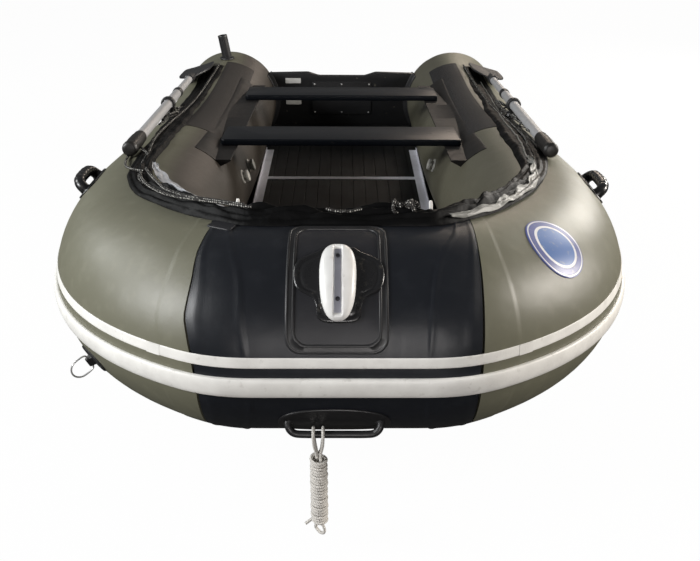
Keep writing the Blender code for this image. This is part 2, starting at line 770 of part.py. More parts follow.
# Floor panels: planks that run fore and aft, grooved between
floor_low = FLOOR_TOP - FLOOR_THICKNESS
rise = TUBE_RADIUS - FLOOR_TOP - STRINGER_RISE
FLOOR_HALF = SIDE_OFFSET - sqrt(TUBE_RADIUS**2 - rise**2) - (
    FLOOR_CLEARANCE + JOINER_WALL + STRINGER_WALL)
planks = [(-FLOOR_HALF, floor_low), (FLOOR_HALF, floor_low), (FLOOR_HALF, FLOOR_TOP)]
groove, depth = PLANK_GROOVE
count = floor((FLOOR_HALF - groove) / PLANK_PITCH)
for n in range(count, -count - 1, -1):
    x = n * PLANK_PITCH
    planks += [(x + groove / 2, FLOOR_TOP), (x + groove / 2, FLOOR_TOP - depth),
               (x - groove / 2, FLOOR_TOP - depth), (x - groove / 2, FLOOR_TOP)]
planks.append((-FLOOR_HALF, FLOOR_TOP))
inset = WEB_HALF + GAP
upright = Matrix.Rotation(pi / 2, 4, "X")
for name, front, back in (
        ("mid_floor_panel", FORE_JOINER_STATION + inset, AFT_JOINER_STATION - inset),
        ("aft_floor_panel", AFT_JOINER_STATION + inset, FLOOR_AFT_STATION)):
    middle = Matrix.Translation((0, station((front + back) / 2), 0))
    prism(name, [planks], (back - front) / 2, PANEL, middle @ upright)

# Bow board, which slopes up from the fore joiner
slope = np.arctan(BOARD_SLOPE)
hinge = Vector((0, station(FORE_JOINER_STATION), FLOOR_TOP - FLOOR_THICKNESS / 2))
tilt = Matrix.Translation(hinge) @ Matrix.Rotation(-slope, 4, "X")
board = [(FLOOR_HALF, -inset)]
for distance, narrowing in ((BOARD_SHOULDER_STATION, BOARD_SHOULDER_INSET),
                            (BOARD_FRONT_STATION, BOARD_FRONT_INSET)):
    board.append((FLOOR_HALF - narrowing, (distance - FORE_JOINER_STATION) / cos(slope)))
board += [(-x, y) for x, y in reversed(board)]
prism("fore_floor_panel", [board], FLOOR_THICKNESS / 2, PANEL, tilt)


def joiner(name, distance, lift):
    """An H section across the floor; its fore arms can be tilted."""
    inner = FLOOR_THICKNESS / 2 + GAP
    outer = inner + JOINER_WALL
    arm = [(JOINER_ARM, outer), (JOINER_ARM, inner), (WEB_HALF, inner),
           (WEB_HALF, -inner), (JOINER_ARM, -inner), (JOINER_ARM, -outer)]
    fore = [(-y * cos(lift) + z * sin(lift), z * cos(lift) + y * sin(lift))
            for y, z in reversed(arm)]
    if lift:
        arm, fore = arm + [(0, -outer)], fore + [(0, outer)]
    place = Matrix.Translation((0, station(distance), FLOOR_TOP - FLOOR_THICKNESS / 2))
    facing = Matrix(((0, 0, 1), (1, 0, 0), (0, 1, 0))).to_4x4()
    prism(name, [arm + fore], FLOOR_HALF - GAP, ALUMINIUM, place @ facing)


joiner("fore_floor_joiner", FORE_JOINER_STATION, slope)
joiner("aft_floor_joiner", AFT_JOINER_STATION, 0)

# Stringers that grip the floor's long edges
for side, hand in ((-1, "starboard"), (1, "port")):
    web = FLOOR_HALF + JOINER_WALL
    face, lip = web + STRINGER_WALL, web - STRINGER_LIP
    top = FLOOR_TOP + JOINER_WALL + 2 * GAP
    under = floor_low - JOINER_WALL - 2 * GAP
    section = [(lip, top), (web, top), (web, under), (lip, under), (lip, under - JOINER_WALL),
               (face, under - JOINER_WALL), (face, FLOOR_TOP + STRINGER_RISE),
               (web, FLOOR_TOP + STRINGER_RISE), (web, top + JOINER_WALL),
               (lip, top + JOINER_WALL)]
    ends = [station(distance) for distance in STRINGER_STATIONS]
    place = Matrix.Translation((0, sum(ends) / 2, 0)) @ upright
    prism(hand + "_stringer", [[(side * x, z) for x, z in section]], (ends[1] - ends[0]) / 2,
          ALUMINIUM, place)

# Transom board, its edges kept off the tubes
transom_y = station(TRANSOM_STATION) + TRANSOM_THICKNESS / 2
half = [(NOTCH_HALF, NOTCH_BOTTOM), (NOTCH_TOP_HALF, NOTCH_TOP)]
for step in range(TRANSOM_STEPS + 1):
    turn = radians(TRANSOM_ARC[0] + (TRANSOM_ARC[1] - TRANSOM_ARC[0]) * step / TRANSOM_STEPS)
    reach = TUBE_RADIUS + TRANSOM_CLEARANCE
    half.append((SIDE_OFFSET - reach * cos(turn), TUBE_RADIUS + reach * sin(turn)))
outline = half + [(0, TRANSOM_FOOT)] + [(-x, z) for x, z in reversed(half)]
prism("transom_board", [outline], TRANSOM_THICKNESS / 2, BOARD,
      Matrix.Translation((0, transom_y, 0)) @ upright)

# Rubber channels that hold the transom's edges to the tubes
lip_in = TRANSOM_THICKNESS / 2 + GAP
lip_out = lip_in + HOLDER_LIP
channel = [(-HOLDER_HALF, SLACK), (HOLDER_HALF, SLACK), (HOLDER_HALF, HOLDER_BASE),
           (lip_out, HOLDER_BASE), (lip_out, HOLDER_HEIGHT), (lip_in, HOLDER_HEIGHT),
           (lip_in, HOLDER_BASE)]
channel += [(-a, h) for a, h in reversed(channel[2:])]
middle = along(TRANSOM_STATION + TRANSOM_THICKNESS / 2)
for side, hand in ((-1, "starboard"), (1, "port")):
    loops = [[skin(side * (middle + a), angle, h) for a, h in channel]
             for angle in ridges_in(*HOLDER_ANGLES)]
    loft(hand + "_transom_holder", loops, RUBBER)

# Motor plates on both faces of the transom
for name, near in (("inner_motor_plate", TRANSOM_STATION - GAP - PLATE_WALL),
                   ("outer_motor_plate", TRANSOM_STATION + TRANSOM_THICKNESS + GAP)):
    box(name, (-PLATE_HALF, station(near), PLATE_SPAN[0]),
        (PLATE_HALF, station(near) + PLATE_WALL, PLATE_SPAN[1]), PLASTIC)

# Drain plug in the transom's outer face
flange_radius, flange_height = PLUG_FLANGE
profile = ((0, PLUG_HEIGHT), (PLUG_RADIUS, PLUG_HEIGHT), (PLUG_RADIUS, flange_height),
           (flange_radius, flange_height), (flange_radius, 0), (0, 0))
spot = (PLUG_POSITION[0], station(TRANSOM_STATION) + TRANSOM_THICKNESS + GAP, PLUG_POSITION[1])
turned("drain_plug", profile, VALVE_SIDES, PLASTIC, aimed(spot, (0, 1, 0)))

SHELF_LEVELS = [sheer(station(distance)) + TUBE_RADIUS - drop
                for distance, drop in zip(SHELF_STATIONS, SHELF_DROPS)]
SHELF_SLOPE = (SHELF_LEVELS[0] - SHELF_LEVELS[1]) / (SHELF_STATIONS[1] - SHELF_STATIONS[0])
SHELF_INSET = TUBE_RADIUS - SHELF_TUCK          # from the tube's centre
SEAT_HALF = SIDE_OFFSET - SHELF_INSET + SEAT_BEARING


def shelf_level(y):
    """Height of the shelves' top, one straight slope from end to end."""
    return SHELF_LEVELS[0] - SHELF_SLOPE * (y - station(SHELF_STATIONS[0]))


def on_shelf(point, low, high):
    """Where a row of points, high to low, passes down through the shelves' top."""
    for _ in range(LEVEL_STEPS):
        middle = (low + high) / 2
        spot = point(middle)
        if spot.z > shelf_level(spot.y):
            low = middle
        else:
            high = middle
    return point(high)


def shelf_section(arc):
    """A rail across the tube: its flange on the fabric, its shelf inboard."""
    flange, shoulder, ridge, foot = RAIL_ANGLES

    def inset(angle):
        return bulge(arc, angle, SHELF_INSET / cos(radians(180 - angle)) - TUBE_RADIUS)

    def flanged(angle):
        return skin(arc, angle, SLACK + RAIL_FLANGE)

    under = [skin(arc, angle, SLACK) for angle in RAIL_ANGLES]
    root = on_shelf(flanged, shoulder, ridge)
    return [*under, on_shelf(inset, shoulder, foot), root, flanged(shoulder), flanged(flange)]


# Shelves for the seats, glued along the inside of the tubes
ends = [along(distance) for distance in RAIL_STATIONS]
for side, hand in ((-1, "starboard"), (1, "port")):
    loft(hand + "_seat_rail", [shelf_section(arc) for arc in arcs_in(*mirrored(*ends, side))],
         RUBBER)


def seat(name, distance, half_width):
    """A seat board across both shelves, its origin on its underside."""
    y = station(distance)
    run = Vector((0, 1, -SHELF_SLOPE)).normalized()
    place = aimed((0, y, shelf_level(y)), Vector((1, 0, 0)).cross(run), (1, 0, 0))
    place = place @ Matrix.Translation((0, 0, GAP))
    box(name, (-SEAT_HALF, -half_width, 0), (SEAT_HALF, half_width, SEAT_THICKNESS), SEAT,
        place, SEAT_ROUND)


seat("fore_seat", *FORE_SEAT)
seat("aft_seat", *AFT_SEAT)

# Patches
cover("bow_patch", (-BOW_PATCH_HALF, BOW_PATCH_HALF), BOW_PATCH_ANGLES, SLACK, PATCH_WALL,
      BLACK_FABRIC, on_bow)
ends = [along(distance) for distance in WEAR_STATIONS]
for side, hand in ((-1, "starboard"), (1, "port")):
    cover(hand + "_wear_patch", mirrored(*ends, side), WEAR_ANGLES, SLACK, PATCH_WALL, DARK_PATCH)

reach = BADGE_RADIUS + BADGE_MARGIN
badge_turn = degrees(reach / TUBE_RADIUS)
badge = cover("badge_patch", (BADGE_ARC - reach, BADGE_ARC + reach),
              (BADGE_ANGLE - badge_turn, BADGE_ANGLE + badge_turn), SLACK, PATCH_WALL, BADGE)
place = seat_on(BADGE_ARC, BADGE_ANGLE, 0)
profile = ((0, CUT_OVERRUN), (BADGE_RADIUS, CUT_OVERRUN), (BADGE_RADIUS, -2 * CUT_OVERRUN),
           (0, -2 * CUT_OVERRUN))
boolean(badge, turned("badge_round", profile, TUBE_SIDES, None, place), "INTERSECT")

# Carry handles
for side, hand in ((-1, "starboard"), (1, "port")):
    arc, turn = along(HANDLE_STATION, side), HANDLE_ANGLES[hand]
    half, spread, wall = HANDLE_BASE
    piece = cover(hand + "_carry_handle", (arc - half, arc + half),
                  (turn - spread, turn + spread), SLACK, wall, RUBBER)
    arch = [(-a, h) for a, h in HANDLE_GRIP] + list(reversed(HANDLE_GRIP))
    points = [bulge(arc + a, turn, h) for a, h in arch]
    boolean(piece, wire(hand + "_handle_arch", points, HANDLE_RADIUS, GRIP_SIDES), "UNION")

# Tow handle under the bow
half, upper, lower, wall = TOW_BASE
tow = cover("tow_handle", (TOW_CENTRE - half, TOW_CENTRE + half), (lower, upper), SLACK, wall,
            RUBBER, on_bow)
arch = [(-a, turn, h) for a, turn, h in TOW_GRIP] + list(reversed(TOW_GRIP))
points = [on_bow(TOW_CENTRE + a, turn, h, off_ring) for a, turn, h in arch]
boolean(tow, wire("tow_arch", points, TOW_RADIUS, GRIP_SIDES), "UNION")

# Fairlead on its base
base_low = SLACK + PATCH_WALL + GAP
loops = []
for angle, half in WING_ROWS:
    loops.append([on_bow(x, angle, h) for x, h in (
        (-half, base_low), (half, base_low), (half, base_low + WING_WALL),
        (-half, base_low + WING_WALL))])
loft("fairlead_base", loops, RUBBER)
lead_low = base_low + WING_WALL + GAP
loops = []
for angle, share in LEAD_ROWS:
    half = [(LEAD_HALF * share * a, lead_low + LEAD_HEIGHT * h) for a, h in LEAD_SECTION]
    section = half + [(-a, h) for a, h in reversed(half)]
    loops.append([on_bow(LEAD_CENTRE + a, angle, h) for a, h in section])
loft("bow_fairlead", loops, LIGHT_PLASTIC)

# D-ring: a welded patch with a bored tab, and the wire ring through it, which
# stands out from the tube and swings about its bar
half, spread, wall = RING_PATCH
tab_patch = cover("d_ring_patch", (RING_ARC - half, RING_ARC + half),
                  (RING_ANGLE - spread, RING_ANGLE + spread), SLACK, wall, RUBBER)
place = seat_on(RING_ARC, RING_ANGLE, 0) @ Matrix.Rotation(pi / 2, 4, "Z")
across = place @ Matrix(((0, 0, 1), (1, 0, 0), (0, 1, 0))).to_4x4()
turns = [pi * n / TAB_STEPS for n in range(TAB_STEPS + 1)]
tab = [(TAB_RADIUS * cos(turn), RING_HEIGHT + TAB_RADIUS * sin(turn)) for turn in turns]
tab += [(-TAB_RADIUS, SLACK + wall / 2), (TAB_RADIUS, SLACK + wall / 2)]
bore = [(TAB_BORE * cos(2 * turn), RING_HEIGHT - TAB_BORE * sin(2 * turn)) for turn in turns[:-1]]
boolean(tab_patch, prism("d_ring_tab", [tab, bore], TAB_HALF, None, across), "UNION")
bar = place @ Matrix.Translation((0, 0, RING_HEIGHT))
ring_line = [(-RING_BAR_HALF, 0), (RING_BAR_HALF, 0)]
for n in range(RING_STEPS + 1):
    turn = pi * n / RING_STEPS
    ring_line.append((RING_ROUND * cos(turn), RING_REACH + RING_ROUND * sin(turn)))
pivot(wire("d_ring", [bar @ Vector((x, 0, z)) for x, z in ring_line], RING_WIRE, LACE_SIDES,
           STEEL, True), bar @ Matrix.Rotation(pi / 2, 4, "Y"))

# Air valves and their caps
for name, (distance, side) in VALVES.items():
    place = seat_on(along(distance, side), VALVE_ANGLE, SLACK)
    turned(name + "_valve", VALVE_BODY, VALVE_SIDES, LIGHT_PLASTIC, place)
    place = place @ Matrix.Translation((0, 0, VALVE_BODY[0][1] + GAP))
    turned(name + "_valve_cap", CAP_BODY, VALVE_SIDES, LIGHT_PLASTIC, place)


def oar(hand, side):
    """A stowed oar, its lock and the pad that the lock turns in."""
    fore, aft = (skin(along(distance, side), angle, height)
                 for distance, angle, height in (OAR_FORE, OAR_AFT))
    line = (aft - fore).normalized()
    lock = fore + line * ((station(LOCK_STATION) - fore.y) / line.y)
    arc = along(LOCK_STATION, side)
    spoke = lock - centre_at(arc)
    place = aimed(lock, line, line.cross(spoke))
    upward = place.to_3x3().col[1] * (1 if place.to_3x3().col[1].dot(spoke) > 0 else -1)
    start = (fore - lock).length
    neck = (station(BLADE_STATION) - lock.y) / line.y

    shaft_low = GRIP_LENGTH - start
    profile = ((0, neck), (SHAFT_RADIUS, neck), (SHAFT_RADIUS, shaft_low), (0, shaft_low))
    turned(hand + "_oar_shaft", profile, SHAFT_SIDES, ALUMINIUM, place)

    grip_end = Matrix.Translation((0, 0, shaft_low - GAP)) @ Matrix.Rotation(pi, 4, "X")
    reach = GRIP_LENGTH - GAP
    profile = [(GRIP_RADIUS * r, reach * h) for r, h in GRIP_PROFILE]
    turned(hand + "_oar_grip", profile, SHAFT_SIDES, RUBBER, place @ grip_end)

    blade = [(BLADE_HALF * x, BLADE_LENGTH * z) for x, z in BLADE_OUTLINE]
    blade += [(-x, z) for x, z in reversed(blade)]
    base = Matrix.Translation((0, 0, neck + GAP)) @ Matrix.Rotation(pi / 2, 4, "X")
    piece = prism(hand + "_oar_blade", [blade], BLADE_HALF_THICKNESS, PLASTIC, place @ base)
    socket = ((0, SOCKET_LENGTH), (SOCKET_RADIUS, SOCKET_LENGTH), (SOCKET_RADIUS, 0), (0, 0))
    collar = turned(hand + "_blade_socket", socket, SHAFT_SIDES, None,
                    place @ Matrix.Translation((0, 0, neck + GAP)))
    boolean(piece, collar, "UNION")

    ring = ((LOCK_OUTER, LOCK_HALF), (LOCK_OUTER, -LOCK_HALF), (LOCK_INNER, -LOCK_HALF),
            (LOCK_INNER, LOCK_HALF))
    piece = turned(hand + "_oarlock", ring, VALVE_SIDES, PLASTIC, place)
    top = (LOCK_INNER + LOCK_OUTER) / 2
    boolean(piece, pin(hand + "_lock_pin", PIN_RADIUS, lock - upward * top,
                       lock - upward * PIN_REACH, SHAFT_SIDES), "UNION")

    angle = degrees(np.arctan2(spoke.z, side * spoke.x))
    pad = cover(hand + "_oarlock_base", (arc - PAD_HALF, arc + PAD_HALF),
                (angle - PAD_HALF_ANGLE, angle + PAD_HALF_ANGLE), SLACK, PAD_WALL, RUBBER)
    height = spoke.length - TUBE_RADIUS
    boolean(pad, pin(hand + "_boss", BOSS_RADIUS, lock - upward * BOSS_TOP,
                     lock - upward * (height - BOSS_FOOT), VALVE_SIDES), "UNION")
    bore = pin(hand + "_lock_bore", PIN_RADIUS + PIN_FIT,
               lock - upward * (BOSS_TOP - CUT_OVERRUN), lock - upward * (PIN_REACH + PIN_FIT),
               SHAFT_SIDES)
    boolean(pad, bore, "DIFFERENCE")


oar("starboard", -1)
oar("port", 1)

# Rod holder, leaning outboard on the starboard quarter
arc = along(ROD_STATION, -1)
place = seat_on(arc, ROD_ANGLE, ROD_LIFT)
radius, height = ROD_FLANGE
lean = Vector((-sin(ROD_LEAN), 0, cos(ROD_LEAN)))
profile = ((0, height), (radius, height), (radius, 0), (0, 0))
rod = turned("rod_holder", profile, ROD_SIDES, PLASTIC, place)
start = place.translation + Vector((0, 0, height / 2 + ROD_RADIUS * sin(ROD_LEAN)))
boolean(rod, pin("rod_cup", ROD_RADIUS, start - lean * height / 4, start + lean * ROD_LENGTH,
                 ROD_SIDES), "UNION")
boolean(rod, pin("rod_bore", ROD_BORE, start + lean * ROD_FLOOR,
                 start + lean * (ROD_LENGTH + CUT_OVERRUN), ROD_SIDES), "DIFFERENCE")


def flap_section(arc):
    """The flap's cross-section: flat on the tube below, folded above."""
    centre = centre_at(arc)
    distance = centre.y - BOW_FACE
    stations = [key[0] for key in FLAP_KEYS]
    inner, outer, fold = (float(np.interp(distance, stations, [key[n] for key in FLAP_KEYS]))
                          for n in (1, 2, 3))
    last = FLAP_COLUMNS - 1
    turns = [inner + (outer - inner) * n / last for n in range(FLAP_COLUMNS)]
    under = [(turn, FLAP_LIFT) for turn in turns]
    over = [(turn, FLAP_LIFT + FLAP_WALL + fold * share)
            for turn, share in zip(turns, FLAP_FOLDS)]
    return under + over[::-1]


flap_end = along(FLAP_KEYS[-1][0])
loft("spray_flap", [[bulge(arc, a, h) for a, h in flap_section(arc)]
                    for arc in arcs_in(-flap_end, flap_end)], CLOTH_BLACK)

# Lacing rope
keys = [(-along(d), a, h) for d, a, h in LACE_SIDE + LACE_STARBOARD + LACE_BOW]
keys += [(along(d), a, h) for d, a, h in reversed(LACE_SIDE + LACE_PORT + LACE_BOW)]
wire("lacing_rope", [bulge(*key) for key in smooth_path(keys, LACE_STEPS)], LACE_RADIUS,
     LACE_SIDES, LACE)


def painter_path():
    """The rope from its start at the bar to its bare end, on one line."""
    bar_turn, bar_height = TOW_GRIP[-1][1:]
    bar = on_bow(PAINTER_X, bar_turn, bar_height, off_ring)
    q = LEG_OFFSET
    wrap_end = WRAP_DROP + WRAPS * WRAP_PITCH
    fold_z = -(wrap_end + FOLD_DROP)
    neck = -NECK_DROP - q
    flare = q * FLARE_SHARE
    flare_z = neck * FLARE_DROP_SHARE
    side = BIGHT_OFFSET * SIDE_SHARE
    swell = BIGHT_RADIUS * SWELL_SHARE
    mid_z = -NECK_DROP / 2

    def bight(x):
        turns = [pi * n / BIGHT_STEPS for n in range(BIGHT_STEPS + 1)]
        return [(x, -BIGHT_RADIUS * cos(turn), BIGHT_RADIUS * sin(turn)) for turn in turns]

    def leg(x, y, high, low):
        return [(x, y, high + (low - high) * n / LEG_STEPS) for n in range(LEG_STEPS + 1)]

    path = [(-q, -q, neck), (-flare, -flare, flare_z), (-side, -swell, mid_z)]
    path += bight(-BIGHT_OFFSET)
    path += [(-side, swell, mid_z), (-flare, flare, flare_z)]
    path += leg(-q, q, neck, -wrap_end)
    slant = 1 / hypot(1, 1)
    for n in range(FOLD_STEPS + 1):
        turn = FOLD_START + FOLD_SWEEP * n / FOLD_STEPS
        reach = FOLD_RADIUS * cos(turn) * slant
        path.append((reach, -reach, fold_z + FOLD_RADIUS * sin(turn)))
    path += leg(q, -q, -wrap_end, neck)
    path += [(flare, -flare, flare_z), (side, -swell, mid_z)]
    path += bight(BIGHT_OFFSET)
    path.append((side, swell, mid_z))
    near = WRAP_RADIUS * LEAD_SHARE
    path.append((near * cos(WRAP_LEAD), near * sin(WRAP_LEAD), WRAP_PITCH * LEAD_PITCHES - WRAP_DROP))
    for n in range(WRAPS * WRAP_POINTS + 1):
        turn = WRAP_START + 2 * pi * n / WRAP_POINTS
        path.append((WRAP_RADIUS * cos(turn), WRAP_RADIUS * sin(turn),
                     -WRAP_DROP - WRAP_PITCH * n / WRAP_POINTS))
    last = Vector(path[-1])
    path += [last + Vector(END_OFFSET) * share for share in END_SHARES]
    return [bar + Vector(spot) for spot in path]


def least_gap(points, radius):
    """The rope's least clear distance to itself, measured on its points."""
    spots = np.array(points)
    lengths = np.concatenate([[0], np.cumsum(np.linalg.norm(np.diff(spots, axis=0), axis=1))])
    apart = np.linalg.norm(spots[:, None] - spots[None], axis=2)
    run = np.abs(lengths[:, None] - lengths[None])
    return float(apart[run > NEAR_RUN].min()) - 2 * radius, float(lengths[-1])


painter = painter_path()
wire("painter_rope", painter, ROPE_RADIUS, ROPE_SIDES, ROPE)
gap, length = least_gap(painter, ROPE_RADIUS)
print(f"painter: {length:.3f} m long, least gap to itself {gap:.5f} m")
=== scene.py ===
"""Looks for the inflatable boat: soft tubes, plank floor, seats, oars and ropes."""

from math import cos, degrees, pi, radians, sin

import bmesh
import bpy
import numpy as np
from mathutils import Matrix, Vector


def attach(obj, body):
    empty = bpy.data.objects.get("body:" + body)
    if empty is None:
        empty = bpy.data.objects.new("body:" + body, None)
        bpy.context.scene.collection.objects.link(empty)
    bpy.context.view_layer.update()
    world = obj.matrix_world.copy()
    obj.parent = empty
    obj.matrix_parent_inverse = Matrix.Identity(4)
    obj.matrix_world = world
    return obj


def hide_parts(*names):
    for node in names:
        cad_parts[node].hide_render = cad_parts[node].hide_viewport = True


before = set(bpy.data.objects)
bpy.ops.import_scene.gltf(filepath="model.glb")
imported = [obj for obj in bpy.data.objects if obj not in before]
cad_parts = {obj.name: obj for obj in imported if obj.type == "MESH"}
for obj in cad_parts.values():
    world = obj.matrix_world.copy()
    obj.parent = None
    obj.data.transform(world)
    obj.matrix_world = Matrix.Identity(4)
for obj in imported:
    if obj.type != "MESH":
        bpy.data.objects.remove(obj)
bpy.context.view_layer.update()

# The set: a pale floor under soft lamps, with the camera a little above the bow, as
# far off and as steep as in the photograph. A camera ray sees the floor almost white.
eye = Vector((0.0049, -2.8734, 1.3913))
pitch, yaw, roll = 0.4998, 0.0108, 0.0068         # radians
picture_width, focal_length = 700, 805.64         # pixels
ahead = Vector((sin(yaw) * cos(pitch), cos(yaw) * cos(pitch), -sin(pitch)))
right = Vector((cos(yaw), -sin(yaw), 0))
above = right.cross(ahead)
right, above = right * cos(roll) + above * sin(roll), above * cos(roll) - right * sin(roll)
camera = bpy.data.objects.new("camera", bpy.data.cameras.new("camera"))
camera.matrix_world = Matrix.Translation(eye) @ Matrix((right, above, -ahead)).transposed().to_4x4()
camera.data.lens = focal_length * camera.data.sensor_width / picture_width
camera.data.clip_end = 200
bpy.context.scene.collection.objects.link(camera)
bpy.context.scene.camera = camera
bpy.context.scene.view_settings.view_transform = "Standard"


def node(tree, kind, settings, *values, **named):
    """A shader node: its settings first, then values or links for its sockets."""
    item = tree.nodes.new("ShaderNode" + kind)
    for name, value in settings.items():
        if name == "stops":
            ramp = item.color_ramp.elements
            while len(ramp) < len(value):
                ramp.new(1.0)
            for stop, (place, colour) in zip(ramp, value):
                stop.position = place
                stop.color = (*colour, 1) if len(colour) == 3 else colour
        else:
            setattr(item, name, value)
    pairs = list(enumerate(values)) + [(name.replace("_", " "), v) for name, v in named.items()]
    for name, value in pairs:
        socket = item.inputs[name]
        if isinstance(value, Level):
            tree.links.new(value.socket, socket)
        elif isinstance(value, bpy.types.NodeSocket):
            tree.links.new(value, socket)
        elif isinstance(value, (tuple, list)) and socket.type == "RGBA":
            socket.default_value = (*value[:3], 1)
        else:
            socket.default_value = value
    return item


class Level:
    """A shader value that takes part in sums; each operation adds a Math node."""

    def __init__(self, tree, socket):
        self.tree = tree
        self.socket = socket

    def maths(self, operation, *values):
        step = node(self.tree, "Math", {"operation": operation}, *values)
        return Level(self.tree, step.outputs[0])

    def __add__(self, other):
        return self.maths("ADD", self, other)

    def __sub__(self, other):
        return self.maths("SUBTRACT", self, other)

    def __rsub__(self, other):
        return self.maths("SUBTRACT", other, self)

    def __mul__(self, other):
        return self.maths("MULTIPLY", self, other)

    def wave(self):
        return self.maths("SINE", self)

    def over(self, edge, soft):
        """Nought below the edge, one above it, with a soft step between."""
        rise = node(self.tree, "MapRange", {"interpolation_type": "SMOOTHSTEP"}, self,
                    edge - soft, edge + soft, 0.0, 1.0)
        return Level(self.tree, rise.outputs[0])


def blend_colour(tree, share, first, second):
    """The first colour where the share is nought and the second where it is one."""
    mix = tree.nodes.new("ShaderNodeMix")
    mix.data_type = "RGBA"
    for socket, value in ((mix.inputs[0], share), (mix.inputs[6], first), (mix.inputs[7], second)):
        if isinstance(value, Level):
            tree.links.new(value.socket, socket)
        elif isinstance(value, bpy.types.NodeSocket):
            tree.links.new(value, socket)
        else:
            socket.default_value = (*value, 1) if isinstance(value, tuple) else value
    return mix.outputs[2]


def lamp(name, spot, target, size, power, colour):
    """A soft lamp at a spot, aimed at a target: its size in metres, its power in watts."""
    light = bpy.data.lights.new(name, "AREA")
    light.shape = "RECTANGLE"
    light.size, light.size_y = size
    light.energy = power
    light.color = colour
    item = bpy.data.objects.new(name, light)
    turn = (Vector(target) - Vector(spot)).to_track_quat("-Z", "Y")
    item.matrix_world = Matrix.Translation(spot) @ turn.to_matrix().to_4x4()
    bpy.context.scene.collection.objects.link(item)


lamp("port_lamp", (4.6, -0.7, 2.0), (0.6, -0.8, 0.4), (1.6, 1.2), 215, (1.0, 0.94, 0.87))
lamp("starboard_lamp", (-3.9, -2.4, 2.4), (-0.5, -0.9, 0.4), (1.6, 1.2), 185, (0.98, 0.99, 1.0))
lamp("starboard_sheen", (-4.2, 0.5, 2.5), (-0.5, -0.9, 0.4), (1.5, 1.2), 66, (0.98, 1.0, 0.98))
lamp("front_lamp", (0.4, -5.0, 1.1), (0.0, -1.3, 0.4), (1.2, 0.8), 48, (1.0, 0.96, 0.94))
lamp("port_sheen", (3.4, 2.6, 1.6), (0.8, -0.8, 0.4), (1.4, 1.0), 95, (1.0, 0.95, 0.88))
lamp("back_lamp", (2.0, 6.0, 2.7), (0.2, 0.4, 0.4), (1.8, 1.2), 42, (1.0, 0.84, 0.70))

world = bpy.data.worlds.new("studio")
world.use_nodes = True
bpy.context.scene.world = world
tree = world.node_tree
tree.nodes.clear()
rays = node(tree, "LightPath", {})
seen = (Level(tree, rays.outputs["Is Camera Ray"])
        + Level(tree, rays.outputs["Is Transmission Ray"])
        + Level(tree, rays.outputs["Is Glossy Ray"]) * 0.08)
sky_grey, white = (0.060, 0.061, 0.062), (1.0, 1.0, 1.0)
backdrop = node(tree, "Background", {}, blend_colour(tree, seen, sky_grey, white), 1.0)
node(tree, "OutputWorld", {}, backdrop.outputs[0])

floor_half, floor_white = 30, 0.975               # metres, share of plain white
floor = bpy.data.objects.new("floor", bpy.data.meshes.new("floor"))
shape = bmesh.new()
bmesh.ops.create_grid(shape, x_segments=1, y_segments=1, size=floor_half)
shape.to_mesh(floor.data)
shape.free()
bpy.context.scene.collection.objects.link(floor)
pale = bpy.data.materials.new("pale_floor")
pale.use_nodes = True
tree = pale.node_tree
tree.nodes.clear()
rays = node(tree, "LightPath", {})
seen = Level(tree, rays.outputs["Is Camera Ray"])
tone = blend_colour(tree, seen, (0.060, 0.060, 0.058), (0.85, 0.85, 0.85))
matt = node(tree, "BsdfDiffuse", {}, tone)
glow = node(tree, "Emission", {}, white, 1.0)
mixed = node(tree, "MixShader", {}, seen * floor_white, matt.outputs[0], glow.outputs[0])
node(tree, "OutputMaterial", {}, mixed.outputs[0])
floor.data.materials.append(pale)


# Painter: one braided rope, 7 mm thick, hung in two bights over the bar of the tow
# handle and wrapped on its own legs for storage. Its end is cut and melted.
def surface(name, rows, finish, ends=True, sharp=40):
    """A surface through closed rows of points, with a UV map in metres along and across."""
    rows = np.asarray(rows, float)
    count, width = rows.shape[:2]
    run = np.linalg.norm(np.diff(rows, axis=0), axis=2).mean(axis=1)
    closed = np.concatenate([rows, rows[:, :1]], axis=1)
    girth = np.linalg.norm(np.diff(closed, axis=1), axis=2).mean(axis=0)
    run, girth = (np.concatenate([[0], np.cumsum(d)]) for d in (run, girth))
    faces, coords = [], []
    for i in range(count - 1):
        here, there = i * width, (i + 1) * width
        for j in range(width):
            k = (j + 1) % width
            faces.append((here + j, here + k, there + k, there + j))
            coords += [(run[i], girth[j]), (run[i], girth[j + 1]),
                       (run[i + 1], girth[j + 1]), (run[i + 1], girth[j])]
    if ends:
        last = (count - 1) * width
        faces += [tuple(range(width - 1, -1, -1)), tuple(range(last, last + width))]
        coords += [(0.0, 0.0)] * (2 * width)
    mesh = bpy.data.meshes.new(name)
    mesh.from_pydata([tuple(p) for p in rows.reshape(-1, 3)], [], faces)
    mesh.uv_layers.new(name="metres").data.foreach_set("uv", np.array(coords, float).ravel())
    return piece(name, mesh, finish, sharp)


def piece(name, mesh, finish, sharp):
    """A finished mesh as an object at the origin, its faces outward, softly shaded."""
    shape = bmesh.new()
    shape.from_mesh(mesh)
    bmesh.ops.recalc_face_normals(shape, faces=shape.faces)
    shape.to_mesh(mesh)
    shape.free()
    mesh.shade_smooth()
    mesh.set_sharp_from_angle(angle=radians(sharp))
    mesh.materials.clear()
    mesh.materials.append(finish)
    item = bpy.data.objects.new(name, mesh)
    bpy.context.scene.collection.objects.link(item)
    return item


def around(count):
    """Even turns round a circle, in radians."""
    return np.arange(count) * 2 * pi / count


